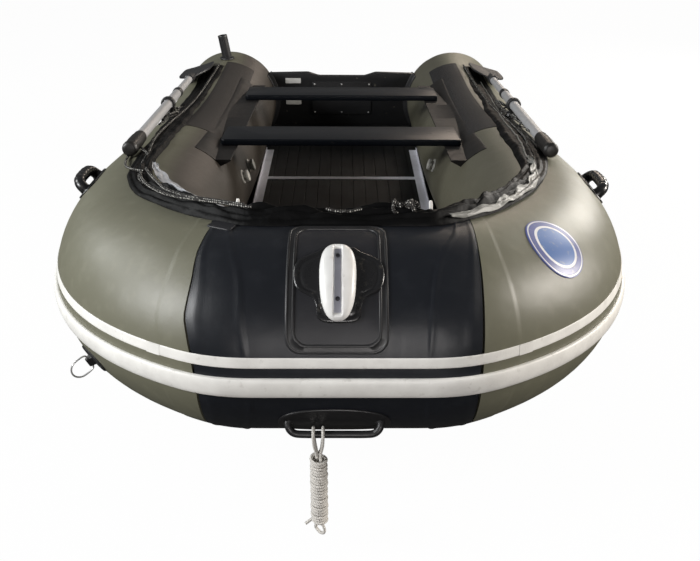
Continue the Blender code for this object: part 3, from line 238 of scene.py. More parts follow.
def tube(name, path, radius, sides, finish):
    """A round tube of even or given radius along a path, its section kept from turning."""
    path = np.asarray(path, float)
    radius = np.broadcast_to(radius, len(path))
    ahead = np.gradient(path, axis=0)
    ahead /= np.linalg.norm(ahead, axis=1)[:, None]
    side = np.cross(ahead[0], (0, 0, 1) if abs(ahead[0][2]) < 0.9 else (1, 0, 0))
    rows = []
    for spot, line, r in zip(path, ahead, radius):
        side = side - line * side.dot(line)
        side /= np.linalg.norm(side)
        over = np.cross(line, side)
        turns = around(sides)
        rows.append(spot + r * (np.outer(np.cos(turns), side) + np.outer(np.sin(turns), over)))
    return surface(name, rows, finish)


def fit(item, slot, *nodes, body="hull"):
    """Gives a piece its body and hides the drawn nodes it stands for; the slot is not used."""
    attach(item, body)
    if nodes:
        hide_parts(*nodes)


def flowing(keys, steps):
    """Points on a smooth curve through the keys."""
    keys = [np.array(key, float) for key in keys]
    ends = [2 * keys[0] - keys[1]] + keys + [2 * keys[-1] - keys[-2]]
    path = []
    for before, first, second, after in zip(ends, ends[1:], ends[2:], ends[3:]):
        for t in np.arange(steps) / steps:
            path.append((2 * first + (second - before) * t
                         + (2 * before - 5 * first + 4 * second - after) * t**2
                         + (3 * first - before - 3 * second + after) * t**3) / 2)
    return np.array(path + [keys[-1]])


def finish_nodes(name, roughness, metallic=0.0, specular=0.5):
    """A new material with its tree, its shader and the piece's own coordinates."""
    finish = bpy.data.materials.new(name)
    finish.use_nodes = True
    tree = finish.node_tree
    tree.nodes.clear()
    shader = node(tree, "BsdfPrincipled", {}, Roughness=roughness, Metallic=metallic)
    shader.inputs["Specular IOR Level"].default_value = specular
    node(tree, "OutputMaterial", {}, shader.outputs[0])
    spot = node(tree, "TexCoord", {})
    return finish, tree, shader, spot


def grain(tree, where, scale, detail=2.0, stretch=None):
    """Even noise from nought to one at a scale in features per metre."""
    if stretch:
        where = node(tree, "Mapping", {}, where, Scale=stretch).outputs[0]
    noise = node(tree, "TexNoise", {}, where, Scale=scale, Detail=detail)
    return Level(tree, noise.outputs[0])


def skin(tree, shader, colour, height, depth, rough=None):
    """Wires a finish: colour, relief as a height times a depth in metres, roughness."""
    bump = node(tree, "Bump", {}, Strength=1.0, Distance=depth, Height=height)
    tree.links.new(bump.outputs[0], shader.inputs["Normal"])
    tree.links.new(colour, shader.inputs["Base Color"])
    if rough:
        tree.links.new(rough.socket, shader.inputs["Roughness"])


def shade(colour, share):
    """A colour made darker or lighter."""
    return tuple(min(1.0, c * share) for c in colour)


def metres(tree, spot):
    """The ways along and across a piece, from its UV map."""
    parts = node(tree, "SeparateXYZ", {}, spot.outputs["UV"])
    return Level(tree, parts.outputs[0]), Level(tree, parts.outputs[1])


def braided_rope(name, light, dark, pitch, fleck=0.0):
    """Braid on a rope's UV map, in metres: strands cross both ways round it."""
    finish, tree, shader, spot = finish_nodes(name, 0.85, specular=0.25)
    run, girth = metres(tree, spot)
    turn = 2 * pi / pitch
    one, two = ((run * turn + girth * (turn * way)).wave() for way in (1.0, -1.0))
    weave = (one * two) * 0.5 + 0.5
    wear = grain(tree, spot.outputs["Object"], 55.0, 3.0)
    if fleck:
        mark = grain(tree, spot.outputs["UV"], 160.0, 0.0)
        lit = (one * two).over(0.55, 0.12) * mark.over(fleck, 0.02)
        base = blend_colour(tree, weave, dark, shade(dark, 2.0))
        colour = blend_colour(tree, lit, base, light)
    else:
        colour = blend_colour(tree, weave * 0.75 + wear * 0.35, dark, light)
    skin(tree, shader, colour, weave + wear * 0.3, 0.0010)
    return finish


white_braid = braided_rope("white_braid", (0.86, 0.84, 0.80), (0.50, 0.47, 0.42), 0.0065)
rope_radius, leg_gap, bight_radius, bight_gap = 0.0035, 0.0042, 0.0123, 0.0100
neck_drop, wrap_radius, wrap_drop, wrap_pitch, wraps = 0.050, 0.0143, 0.064, 0.0080, 22
fold_radius, fold_drop = 0.0150, 0.0210           # the bight at the hank's lower end
bar = Vector((-0.044, -1.573635, 0.323592))
wrap_end = wrap_drop + wraps * wrap_pitch
fold_z, neck = -(wrap_end + fold_drop), -neck_drop - leg_gap
flare, flare_z = leg_gap * 1.2, neck * 0.82
side, swell, mid_z = bight_gap * 0.85, bight_radius * 0.75, -neck_drop / 2


def bight(x):
    """Half a turn of the rope over the bar."""
    return [(x, -bight_radius * cos(t), bight_radius * sin(t)) for t in np.linspace(0, pi, 9)]


def leg(x, y, high, low):
    """A straight length of the rope inside the wraps."""
    return [(x, y, z) for z in np.linspace(high, low, 11)]


keys = [(-leg_gap, -leg_gap, neck), (-flare, -flare, flare_z), (-side, -swell, mid_z),
        *bight(-bight_gap), (-side, swell, mid_z), (-flare, flare, flare_z),
        *leg(-leg_gap, leg_gap, neck, -wrap_end)]
for turn in np.radians(210 + 240 * np.arange(13) / 12):
    reach = fold_radius * cos(turn) / np.sqrt(2)
    keys.append((reach, -reach, fold_z + fold_radius * sin(turn)))
keys += [*leg(leg_gap, -leg_gap, -wrap_end, neck), (flare, -flare, flare_z),
         (side, -swell, mid_z), *bight(bight_gap), (side, swell, mid_z)]
start, reach = radians(60), wrap_radius * 0.62
keys.append((reach * cos(start), reach * sin(start), wrap_pitch * 1.6 - wrap_drop))
for n in range(wraps * 10 + 1):                   # ten keys to a wrap, a little uneven
    turn = radians(110) + 2 * pi * n / 10
    reach = wrap_radius * (1.06 + 0.06 * sin(turn * 0.37) + 0.02 * sin(turn * 1.9))
    keys.append((reach * cos(turn), reach * sin(turn),
                 0.0006 * sin(turn * 0.71) - wrap_drop - wrap_pitch * n / 10))
last = Vector(keys[-1])
keys += [tuple(last + Vector((-0.026, -0.010, -0.016)) * share) for share in (0.4, 1.0)]
route = flowing([bar + Vector(key) for key in keys], 3)
painter = tube("painter", route, rope_radius, 12, white_braid)
fit(painter, "white_rope", "painter_rope")


# Air tubes: coated fabric, 1.2 mm thick, cut to a U that runs straight across the bow,
# kinks where the bow panel ends and sweeps up forward. Three chambers are welded
# together. A place on them is an arc along the U, an angle round it and a height.
tube_radius, side_offset, bow_flat = 0.225, 0.560, 0.208
bow_face, bow_sweep, bow_rise = -1.589, 0.916, 0.232
tail_station, tail_length, tail_radius = 2.860, 0.290, 0.105
round_tube = degrees(1 / tube_radius)             # in a metre of fabric


def sheer(y):
    """The height of the tubes' centre line, which climbs to the bow."""
    start, ease = bow_face + 2.310, 0.35
    share = np.clip((start - y) / (start - bow_face - tube_radius), 0, 1)
    climb = np.where(share < ease, share * share / (2 * ease), share - ease / 2)
    return tube_radius + bow_rise * climb / (1 - ease / 2)


def centre_line():
    """The U's centre line, finely stepped, with the two kinks a little rounded."""
    bow_y = bow_face + tube_radius
    turn = radians(27)
    ends = [np.array((bow_flat, bow_y)), np.array((side_offset, bow_y + bow_sweep))]
    bows = [ends[0] + 0.260 * np.array((cos(turn), sin(turn))), ends[1] - np.array((0, 0.600))]
    t = np.linspace(0, 1, 90)[:, None]
    curve = ((1 - t)**3 * ends[0] + 3 * (1 - t)**2 * t * bows[0]
             + 3 * (1 - t) * t * t * bows[1] + t**3 * ends[1])
    tail = bow_face + tail_station
    flat = np.linspace(0, bow_flat, 22)[:-1]
    straight = np.linspace(ends[1][1], tail, 160)[1:]
    taper = np.linspace(tail, tail + tail_length, 26)[1:]
    x = np.concatenate([flat, curve[:, 0], np.full(len(straight) + len(taper), side_offset)])
    y = np.concatenate([np.full(len(flat), bow_y), curve[:, 1], straight, taper])
    x, y = np.concatenate([-x[:0:-1], x]), np.concatenate([y[:0:-1], y])
    for _ in range(9):
        near = np.abs(np.abs(x) - bow_flat) < 0.05
        x[1:-1] = np.where(near[1:-1], (x[:-2] + 2 * x[1:-1] + x[2:]) / 4, x[1:-1])
        y[1:-1] = np.where(near[1:-1], (y[:-2] + 2 * y[1:-1] + y[2:]) / 4, y[1:-1])
    line = np.stack([x, y, sheer(y)], axis=1)
    arcs = np.concatenate([[0], np.cumsum(np.linalg.norm(np.diff(line, axis=0), axis=1))])
    arcs -= arcs[-1] / 2
    ahead = np.gradient(line, arcs, axis=0)
    ahead /= np.linalg.norm(ahead, axis=1)[:, None]
    return line, arcs, ahead


line, line_arcs, line_ahead = centre_line()
line_stations = line[:, 1] - bow_face
line_radius = np.interp(line_stations, [tail_station, tail_station + tail_length],
                        [tube_radius, tail_radius])


def along(distance, side=1):
    """The arc at which a side tube's centre passes a distance aft of the bow's face."""
    half = len(line) // 2
    return side * np.interp(distance, line_stations[half:], line_arcs[half:])


def on_tube(arc, angle, height=0.0):
    """Points on the tubes: angle 0 is outward, 90 up; height is off the fabric."""
    places = (np.asarray(value, float) for value in (arc, angle, height))
    arc, angle, height = np.broadcast_arrays(*places)
    shape = arc.shape
    arc, turn, height = arc.ravel(), np.radians(angle.ravel()), height.ravel()
    centre, ahead = (np.stack([np.interp(arc, line_arcs, values[:, k]) for k in range(3)], axis=1)
                     for values in (line, line_ahead))
    out = np.cross(ahead, (0, 0, 1))
    out /= np.linalg.norm(out, axis=1)[:, None]
    up = np.cross(out, ahead)
    up /= np.linalg.norm(up, axis=1)[:, None]
    reach = (np.interp(arc, line_arcs, line_radius) + height)[:, None]
    spots = centre + reach * (out * np.cos(turn)[:, None] + up * np.sin(turn)[:, None])
    return spots.reshape(*shape, 3)


thread_rate = 2600.0                              # of the cloth's weave, in radians a metre


def coated_fabric(name, colour, deep, roughness, sheen, inner=None):
    """Coated fabric: faint cloth grain, slow puckers, a little dust and fading; painted shade
    inboard.
    """
    finish, tree, shader, spot = finish_nodes(name, roughness, specular=sheen)
    where = spot.outputs["Object"]
    run, girth = metres(tree, spot)
    fade = grain(tree, where, 2.2, 3.0)
    dust = grain(tree, where, 28.0, 5.0).over(0.60, 0.10)
    base = blend_colour(tree, fade, deep, colour)
    pale = tuple(min(1.0, c * 1.25 + 0.01) for c in colour)
    base = blend_colour(tree, dust * 0.22, base, pale)
    if inner:                                     # painted shade on the cockpit's side, less to port
        across = Level(tree, node(tree, "SeparateXYZ", {}, where).outputs[0])
        inside = girth.over(0.602, 0.050) - girth.over(1.077, 0.050)
        base = blend_colour(tree, inside * (1.0 - across.over(0.0, 0.1) * 0.55), base, inner)
    smear = grain(tree, where, 7.0, 4.0)
    weave = (run * thread_rate).wave() * (girth * thread_rate).wave()
    pucker, pebble = grain(tree, where, 9.0, 2.0), grain(tree, where, 900.0, 1.0)
    skin(tree, shader, base, pucker * 1.6 + weave * 0.035 + pebble * 0.05, 0.0016,
         smear * 0.16 + (roughness - 0.08))
    return finish


# The last colour, a dark brown, is painted shade on the tubes' cockpit side.
olive = coated_fabric("olive_fabric", (0.172, 0.168, 0.120), (0.134, 0.131, 0.092),
                      0.42, 0.50, (0.036, 0.029, 0.022))
blue_black = coated_fabric("black_fabric", (0.0100, 0.0120, 0.0165),
                           (0.0075, 0.0085, 0.0115), 0.36, 0.40)

seam_gap, weld, bead, port_seam = 0.0008, 0.0010, 0.0012, 0.280
seam_angles = (-90.0, 0.0, 16.0, 32.0, 51.0, 66.0, 87.0, 110.0, 270.0)
starboard_seam = (0.280, 0.284, 0.292, 0.303, 0.291, 0.288, 0.272, 0.276, 0.280)


def seam_arcs(angles, side):
    """The arc of the seam between two chambers at each angle round the tube."""
    scan = side * np.linspace(0.200, 0.400, 81)
    seams = []
    for angle in angles:
        out = (port_seam if side > 0
               else np.interp((angle + 90) % 360 - 90, seam_angles, starboard_seam))
        seams.append(side * np.interp(out, np.abs(on_tube(scan, angle)[:, 0]), np.abs(scan)))
    return np.array(seams)


def chamber(name, start, offsets, welts, finish, slot, *nodes):
    """A length of the tubes from one seam on, its welded bands raised, its ends closed."""
    arcs = start[None, :] + offsets
    lift = np.zeros(arcs.shape)
    for centre, width, rise in welts:
        for seam in seams.values():
            away = np.abs(np.abs(arcs - seam) - centre) - width / 2
            lift += rise * np.clip(1 - away / weld_slope, 0, 1)
    bare = (angles <= striped[0]) | (angles >= striped[1])
    fit(surface(name, on_tube(arcs, angles[None, :], lift * bare[None, :]), finish), slot, *nodes)


weld_slope = 0.002
angles = (np.arange(96) - 12) * 3.75
striped = (-9.0, 16.0)                            # the stripes cover these degrees
seams = {side: seam_arcs(angles, side) for side in (-1, 1)}
share = np.linspace(0, 1, 161)[:, None]
reach = (seams[1] - seams[-1] - 2 * seam_gap)[None, :]
bow_welts = ((0.0215, 0.043, weld), (0.0080, 0.005, bead), (0.0420, 0.004, bead))
chamber("bow_chamber", seams[-1], seam_gap + share * reach, bow_welts, blue_black,
        "black_fabric", "bow_tube", "starboard_baffle", "port_baffle")
hands = ((-1, "starboard"), (1, "port"))
even, full = 0.3, 2.900                           # rows up to here are evenly spaced
steps = np.concatenate([np.arange(0.0, 0.060, 0.004), np.arange(0.060, 0.600, 0.012),
                        np.arange(0.600, full, 0.025), [full]])[:, None]
for side, hand in hands:
    room = (along(tail_station + tail_length) - np.abs(seams[side]) - seam_gap)[None, :]
    stretched = even + (steps - even) * (room - even) / (full - even)
    offsets = side * (seam_gap + np.where(steps < even, steps, stretched))
    chamber(hand + "_chamber", seams[side], offsets, ((0.0190, 0.038, weld),), olive,
            "olive_fabric", hand + "_tube")


# Tail caps: one moulded rubber cone over each tapered end, glued on, its face stepped
# and dished in the middle.
def turned(name, profile, place, finish, sides=48, sharp=35):
    """A round piece about the Z of a place, from pairs of radius and height."""
    rows = [[place @ Vector((r * cos(t), r * sin(t), z)) for t in around(sides)]
            for r, z in ((max(r, 0.00002), z) for r, z in profile)]
    return surface(name, rows, finish, sharp=sharp)


def aimed(origin, axis, across=None):
    """A place whose Z lies on an axis and whose X is turned towards a line across it."""
    z = Vector(axis).normalized()
    x = Vector(across) if across is not None else z.orthogonal()
    x = (x - x.dot(z) * z).normalized()
    return Matrix.Translation(origin) @ Matrix((x, z.cross(x), z)).transposed().to_4x4()


def moulded(name, colour, roughness, depth=0.0004, scale=260.0, sheen=0.5, speck=0.0):
    """Moulded rubber or plastic: fine pebbled skin, rubbed a little smoother in patches."""
    finish, tree, shader, spot = finish_nodes(name, roughness, specular=sheen)
    where = spot.outputs["Object"]
    rub = grain(tree, where, 24.0, 4.0)
    tone = blend_colour(tree, rub, shade(colour, 0.82), shade(colour, 1.18))
    if speck:
        dirt = grain(tree, where, 60.0, 5.0).over(0.66, 0.06)
        tone = blend_colour(tree, dirt * speck, tone, (0.30, 0.27, 0.22))
    skin(tree, shader, tone, grain(tree, where, scale, 2.0) + rub * 0.5, depth,
         rub * 0.20 + (roughness - 0.10))
    return finish


black_rubber = moulded("black_rubber", (0.016, 0.016, 0.017), 0.50)
for side, hand in hands:
    tail = bow_face + tail_station + tail_length
    place = aimed((side * side_offset, tail, tube_radius), (0, 1, 0))
    profile = [(0.1285, -0.058), (0.1300, -0.056), (0.1075, 0.0), (0.1035, 0.007),
               (0.0990, 0.010), (0.0975, 0.013), (0.0930, 0.017), (0.080, 0.025),
               (0.060, 0.0325), (0.040, 0.0365), (0.034, 0.0372), (0.033, 0.0355),
               (0.020, 0.0365), (0.0, 0.0372)]
    cap = turned(hand + "_tail_cap", profile, place, black_rubber, 72)
    fit(cap, "black_rubber", hand + "_tail_cap")


# Stripes: a white rubber strake of D section, glued round the widest line, and a flat
# white tape above it, which is lapped near the bow panel's two corners.
def strip(name, arcs, section, finish, sharp=40):
    """A strip along the tubes with one section of angle and height pairs."""
    section = np.array(section)
    rows = on_tube(np.asarray(arcs)[:, None], section[None, :, 0], section[None, :, 1])
    return surface(name, rows, finish, sharp=sharp)


def arcs_between(low, high, fine=0.008, coarse=0.03):
    """Arcs from low to high in fine steps round the bow and coarse ones along the sides."""
    spots = [low]
    while spots[-1] < high:
        near = abs(np.interp(spots[-1], line_arcs, line[:, 0])) < side_offset - 0.015
        spots.append(spots[-1] + (fine if near else coarse))
    return np.array(spots[:-1] + [high])


white_rubber = moulded("white_rubber", (0.86, 0.84, 0.80), 0.42, 0.0003, 180.0, 0.5, 0.20)
stripe_end = along(2.850)
stripe_arcs = arcs_between(-stripe_end, stripe_end)
low, high, shoulder, deep = -7.0, 4.0, 0.0042, 0.0108
bulge = [(low + (high - low) * (0.5 - 0.5 * cos(t)), shoulder + (deep - shoulder) * sin(t)**0.8)
         for t in np.linspace(0, pi, 19)]
strake = strip("rub_strake", stripe_arcs,
               [(high, 0.0002), (low, 0.0002), (low - 0.1, 0.0020), (low - 0.05, 0.0036)] + bulge
               + [(high + 0.05, 0.0036), (high + 0.1, 0.0020)], white_rubber, 60)
fit(strake, "white_rubber", "rub_strake")
low, high = 9.5, 15.0
tape = strip("stripe_tape", stripe_arcs, [(high, 0.0002), (low, 0.0002), (low, 0.0012)]
             + [(a, 0.0016) for a in np.linspace(low + 0.15, high - 0.15, 7)] + [(high, 0.0012)],
             white_rubber)
fit(tape, "white_rubber", "stripe_tape")
for side, hand in hands:
    lap = strip("tape_lap_" + hand, side * 0.262 + np.linspace(-0.012, 0.012, 6),
                [(15.1, 0.0017), (9.4, 0.0017), (9.4, 0.0024), (15.1, 0.0024)], white_rubber)
    fit(lap, "white_rubber")


# Bottom: black coated cloth, welded a hand's width up the tubes, with an inflated keel
# on it. It is taut between the tubes and climbs to the bow along the middle.
keel_low, keel_climb, keel_radius = 0.0070, bow_face + 1.750, 0.0317


def keel_height(y):
    """The height of the bottom cloth along the middle of the boat."""
    front = on_tube(0.0, 240.0, 0.0009)
    share = np.clip((keel_climb - y) / (keel_climb - front[1]), 0, 1)
    return keel_low + (front[2] - keel_low) * share**2.2


def bottom_row(arc, low):
    """The cloth from tube to tube through an arc on each side, moved out by low."""
    edge = [on_tube(arc, a, 0.0006 + low) for a in (255.0, 252.0, 248.0, 244.0, 240.0)]
    last = edge[-1]
    middle = np.array((0, last[1], keel_height(last[1]) - low))
    half = edge + [last + (middle - last) * t for t in (0.2, 0.4, 0.6, 0.8)]
    return half + [middle] + [p * (-1, 1, 1) for p in reversed(half)]


bottom_end, keel_start, keel_end = 2.800, 0.80, 2.70
arcs = arcs_between(bow_flat, along(bottom_end), 0.02, 0.04)
rows = [bottom_row(arc, 0.0) + bottom_row(arc, 0.0010)[::-1] for arc in arcs]
fit(surface("bottom", rows, blue_black), "black_fabric", "bottom_cloth")
keel_path = []
for arc in arcs:
    y = on_tube(arc, 240.0, 0.0)[1]
    if keel_start <= y - bow_face <= keel_end:
        slope = (keel_height(y + 0.01) - keel_height(y - 0.01)) / 0.02
        lift = (keel_radius + 0.0004) / np.sqrt(1 + slope * slope)
        keel_path.append((0, y - slope * lift, keel_height(y) + lift))
ends = np.linspace(0, 1, len(keel_path))
taper = np.clip(np.minimum(ends, 1 - ends) * 14 + 0.55, 0, 1)**0.5
keel = tube("keel", keel_path, keel_radius * taper, 40, blue_black)
fit(keel, "black_fabric", "keel_tube")


# Bow patch: heavy black cloth with a moulded frame round its edge, welded over the top
# of the bow to take the anchor line's rubbing.
def rounded(half_a, half_b, corner, steps=8):
    """A rectangle with round corners as points, from its right side round."""
    points = []
    for quarter, (x, y) in enumerate(((1, 1), (-1, 1), (-1, -1), (1, -1))):
        for t in (quarter + np.arange(steps + 1) / steps) * pi / 2:
            points.append((x * (half_a - corner) + corner * cos(t),
                           y * (half_b - corner) + corner * sin(t)))
    edges = []
    for first, second in zip(points, points[1:] + points[:1]):
        first, way = np.array(first), np.array(second) - first
        count = max(1, int(np.hypot(*way) / 0.012))
        edges += [first + way * k / count for k in range(count)]
    return np.array(edges)


inward = (0.90, 0.78, 0.64, 0.50, 0.36, 0.22, 0.10, 0.01)


def pad(name, arc, angle, outline, edge, top, finish, outer=()):
    """A moulding on the tubes: an edge of insets and heights, then its even top, drawn in."""
    steps = [(inset, 1, height) for inset, height in edge]
    steps += [(top[0], share, top[1]) for share in outer + inward]
    reach = np.linalg.norm(outline, axis=1)[:, None]
    rows = []
    for inset, share, height in steps:
        ring = outline * (1 - inset / np.maximum(reach, inset * 1.01)) * share
        rows.append(on_tube(arc + ring[:, 0], angle + ring[:, 1] * round_tube, height))
    return surface(name, rows, finish, sharp=35)


frame_rubber = moulded("frame_rubber", (0.014, 0.014, 0.015), 0.42)
patch_cloth = coated_fabric("patch_cloth", (0.0150, 0.0155, 0.0190), (0.0110, 0.0110, 0.0135),
                            0.46, 0.45)
patch_low, patch_high, patch_centre = 17.0, 96.0, -0.0055
patch_angle, patch_size = (patch_low + patch_high) / 2, np.array((0.100, 39.5 / round_tube))
outline = rounded(*patch_size, 0.030)
patch = pad("bow_patch_cloth", patch_centre, patch_angle, outline,
            [(0, 0.0002), (0, 0.0014), (0.001, 0.0020)], (0.002, 0.0021), patch_cloth,
            (0.99, 0.96))
fit(patch, "black_fabric", "bow_patch")
frame_half = 0.0100
rim = np.array([*outline, outline[0]]) * (1 - frame_half / patch_size)
rows = []
for wide, high in ((-0.0100, 0.0018), (-0.0094, 0.0036), (-0.0076, 0.0046), (-0.0050, 0.0046),
                   (-0.0034, 0.0030), (0.0050, 0.0028), (0.0060, 0.0040), (0.0080, 0.0042),
                   (0.0094, 0.0034), (0.0100, 0.0016)):
    ring = rim * (1 + wide / patch_size)
    rows.append(on_tube(patch_centre + ring[:, 0], patch_angle + ring[:, 1] * round_tube, high))
band = surface("bow_patch_rim", np.swapaxes(np.array(rows), 0, 1), frame_rubber, ends=False)
fit(band, "black_rubber")


# Wear patches: dark ribbed cloth welded on the inner upper side of the side tubes, where
# people sit and tread.
def ribbed_cloth(name, colour, pitch):
    """Cloth with ribs across its run at a pitch in metres, and ground-in dirt."""
    finish, tree, shader, spot = finish_nodes(name, 0.62, specular=0.4)
    rib = (metres(tree, spot)[0] * (2 * pi / pitch)).wave() * 0.5 + 0.5
    dirt = grain(tree, spot.outputs["Object"], 14.0, 5.0)
    base = blend_colour(tree, rib * 0.45 + dirt * 0.5, shade(colour, 0.62), colour)
    skin(tree, shader, base, rib + grain(tree, spot.outputs["Object"], 500.0, 1.0) * 0.2, 0.0007)
    return finish


low, high, wear_start, wear_end = 92.5, 127.0, 1.395, 2.640
# One cloth in two tones: lighter and browner to starboard as painted light, darker to port as
# painted shade.
for side, hand, colour in ((-1, "starboard", (0.034, 0.029, 0.026)),
                           (1, "port", (0.018, 0.018, 0.020))):
    ends = sorted((along(wear_start, side), along(wear_end, side)))
    section = ([(high, 0.0002), (low, 0.0002), (low, 0.0012)]
               + [(a, 0.0018) for a in np.linspace(low + 0.2, high - 0.2, 8)] + [(high, 0.0012)])
    wear = strip(hand + "_wear_cloth", np.arange(*ends, 0.02), section,
                 ribbed_cloth(hand + "_wear_rib", colour, 0.006))
    fit(wear, "grey_patch", hand + "_wear_patch")


# Badge: an oval printed disc of soft plastic, glued on the port bow. Its face is plain
# but for the printed rings.
def printed_rings(name, face):
    """Rings by the way in from the disc's edge, which its UV map gives in metres."""
    finish, tree, shader, spot = finish_nodes(name, 0.34, specular=0.5)
    away = face - metres(tree, spot)[0]
    base, pale, dark = (0.060, 0.150, 0.400), (0.74, 0.74, 0.76), (0.095, 0.115, 0.310)
    line, ring, outer, edge = (away.over(reach, soft) for reach, soft in (
        (0.0400, 0.0005), (0.0465, 0.0006), (0.0605, 0.0006), (0.0640, 0.0006)))
    for part, colour in ((line, pale), (ring, dark), (outer, pale), (edge, dark)):
        base = blend_colour(tree, part, base, colour)
    scuff = grain(tree, spot.outputs["Object"], 70.0, 5.0).over(0.64, 0.05) * 0.35
    pebble = grain(tree, spot.outputs["Object"], 400.0, 1.0)
    skin(tree, shader, blend_colour(tree, scuff, base, (0.35, 0.36, 0.36)),
         ring * 0.6 - outer * 0.6 + pebble * 0.2, 0.0005)
    return finish


badge_arc, badge_angle, badge_radius = 0.401, 57.5, 0.0665
outline = badge_radius * np.stack([0.88 * np.cos(around(72)), 1.18 * np.sin(around(72))], axis=1)
badge = pad("badge", badge_arc, badge_angle, outline,
            [(0, 0.0002), (0, 0.0014), (0.0008, 0.0021)], (0.0008, 0.0023),
            printed_rings("badge_print", badge_radius + 0.0022), (0.97,))
fit(badge, "badge_blue", "badge_patch")


# Carry handles: one moulded rubber piece each, an oval foot glued to the tube with a
# thick arched grip, shiny where hands have rubbed it.
worn_rubber = moulded("worn_rubber", (0.011, 0.011, 0.012), 0.27, 0.0003, 300.0, 0.55, 0.10)


def oval(half_a, half_b, power):
    """An oval as points, squarer at a higher power."""
    ways = np.stack([np.cos(around(64)), np.sin(around(64))], axis=1)
    return np.sign(ways) * np.abs(ways)**(2 / power) * (half_a, half_b)


def hump(keys, middle):
    """A grip's whole course from the keys of one end, which the other end mirrors."""
    return [(-key[0], *key[1:]) for key in keys] + [middle] + keys[::-1]


handle_half, handle_spread, handle_station = 0.100, 9.5 / round_tube, 0.860
grip_keys = [(0.0745, -0.001), (0.0760, 0.009), (0.0730, 0.018), (0.064, 0.0260), (0.046, 0.0310),
             (0.022, 0.0325)]
for side, hand, angle in ((-1, "starboard", 46.0), (1, "port", 43.0)):
    arc = along(handle_station, side)
    foot = pad(hand + "_handle_foot", arc, angle, oval(handle_half, handle_spread, 3.0),
               [(0, 0.0003), (0, 0.0022), (0.0012, 0.0036), (0.003, 0.0042), (0.006, 0.0040),
                (0.009, 0.0034)], (0.009, 0.0036), worn_rubber)
    path = flowing([on_tube(arc + a, angle, h) for a, h in hump(grip_keys, (0.0, 0.0326))], 6)
    reach = np.abs(np.linspace(-1, 1, len(path)))
    finger_waves = 0.0006 * np.cos(reach * 34) * (reach < 0.5)
    thick = 0.0152 + 0.0034 * np.clip((reach - 0.80) / 0.20, 0, 1)**1.5 + finger_waves
    grip = tube(hand + "_handle_grip", path, thick, 28, worn_rubber)
    fit(foot, "black_rubber")
    fit(grip, "black_rubber", hand + "_carry_handle")


# Tow handle: a lighter moulding of the same kind, low on the bow. The painter hangs on
# its straight bar.
tow_centre, tow_half, tow_low, tow_high = -0.011, 0.116, -45.0, -17.0
outline = oval(tow_half, (tow_high - tow_low) / 2 / round_tube, 2.5)
foot = pad("tow_foot", tow_centre, (tow_low + tow_high) / 2, outline,
           [(0, 0.0003), (0, 0.0022), (0.0012, 0.0036), (0.003, 0.0042), (0.007, 0.0038),
            (0.010, 0.0033)], (0.010, 0.0034), frame_rubber)
tow_keys = [(0.0945, -30.0, -0.001), (0.0950, -30.0, 0.0090), (0.0905, -31.2, 0.0180),
            (0.0800, -32.6, 0.0232), (0.060, -33.0, 0.0242), (0.030, -33.0, 0.0242)]
path = flowing([on_tube(tow_centre + a, t, h)
                for a, t, h in hump(tow_keys, (0.0, -33.0, 0.0242))], 6)
reach = np.abs(np.linspace(-1, 1, len(path)))
thick = 0.0078 + 0.0050 * np.clip((reach - 0.84) / 0.16, 0, 1)**1.4
grip = tube("tow_grip", path, thick, 24, frame_rubber)
fit(foot, "black_rubber")
fit(grip, "black_rubber", "tow_handle")


# Fairlead: a white moulded guide for the anchor line, grooved down the middle and
# screwed to a winged rubber base that is glued over the bow patch.
def egg(keys, count=12):
    """A closed smooth outline from its right half, top to bottom."""
    half = flowing(keys, count)
    return np.concatenate([half, half[-2:0:-1] * (-1, 1)])


wings = egg([(0.0, 0.085), (0.020, 0.0845), (0.033, 0.081), (0.039, 0.075), (0.048, 0.069),
             (0.067, 0.059), (0.080, 0.049), (0.0865, 0.036), (0.0885, 0.020), (0.087, 0.003),
             (0.081, -0.012), (0.067, -0.022), (0.054, -0.029), (0.0465, -0.039), (0.043, -0.053),
             (0.042, -0.067), (0.030, -0.077), (0.0, -0.079)], 6)
base = pad("fairlead_wings", -0.002, 52.5, wings,
           [(0, 0.0020), (0, 0.0050), (0.0014, 0.0064), (0.004, 0.0070), (0.009, 0.0068),
            (0.011, 0.0056), (0.014, 0.0056), (0.016, 0.0066)], (0.016, 0.0068), worn_rubber)
fit(base, "black_rubber", "fairlead_base")
lead_centre, lead_half, lead_rise, lead_low = -0.004, 0.036, 0.0200, 0.0060
lead_angle, lead_reach, groove_half = 54.0, 20.8, 0.0088
rows = []
for t in np.sin(np.linspace(-1, 1, 41) * pi / 2) * 0.9995:
    wide = (1 - abs(t)**2.7)**(1 / 2.4) * (1 + 0.07 * t)
    tall = (1 - abs(t)**3.2)**(1 / 2.0)
    across = np.linspace(-1, 1, 61)
    lobe = np.clip(1 - np.abs(across)**3.2, 0, 1)**(1 / 2.2)
    inside = np.abs(across) * wide * lead_half / (groove_half * 1.06)
    trough = (0.56 * np.clip((0.88 - abs(t)) / 0.07, 0, 1)
              * np.clip(1 - inside**9.0, 0, 1)**0.7)
    height = np.maximum(lobe - trough, 0.0) * tall * lead_rise
    top = np.stack([lead_centre + across * lead_half * wide, height + lead_low], axis=1)
    section = np.concatenate([top, [(lead_centre + lead_half * wide, lead_low - 0.0002),
                                    (lead_centre - lead_half * wide, lead_low - 0.0002)]])
    rows.append(on_tube(section[:, 0], lead_angle + t * lead_reach, section[:, 1]))
milky = moulded("milky_plastic", (0.86, 0.85, 0.83), 0.32, 0.0002, 120.0, 0.5, 0.20)
fit(surface("fairlead", rows, milky, sharp=60), "light_plastic", "bow_fairlead")
# A grey-lilac strip on the groove's floor: painted shade and a painted bluish reflection in the
# groove.
rows = []
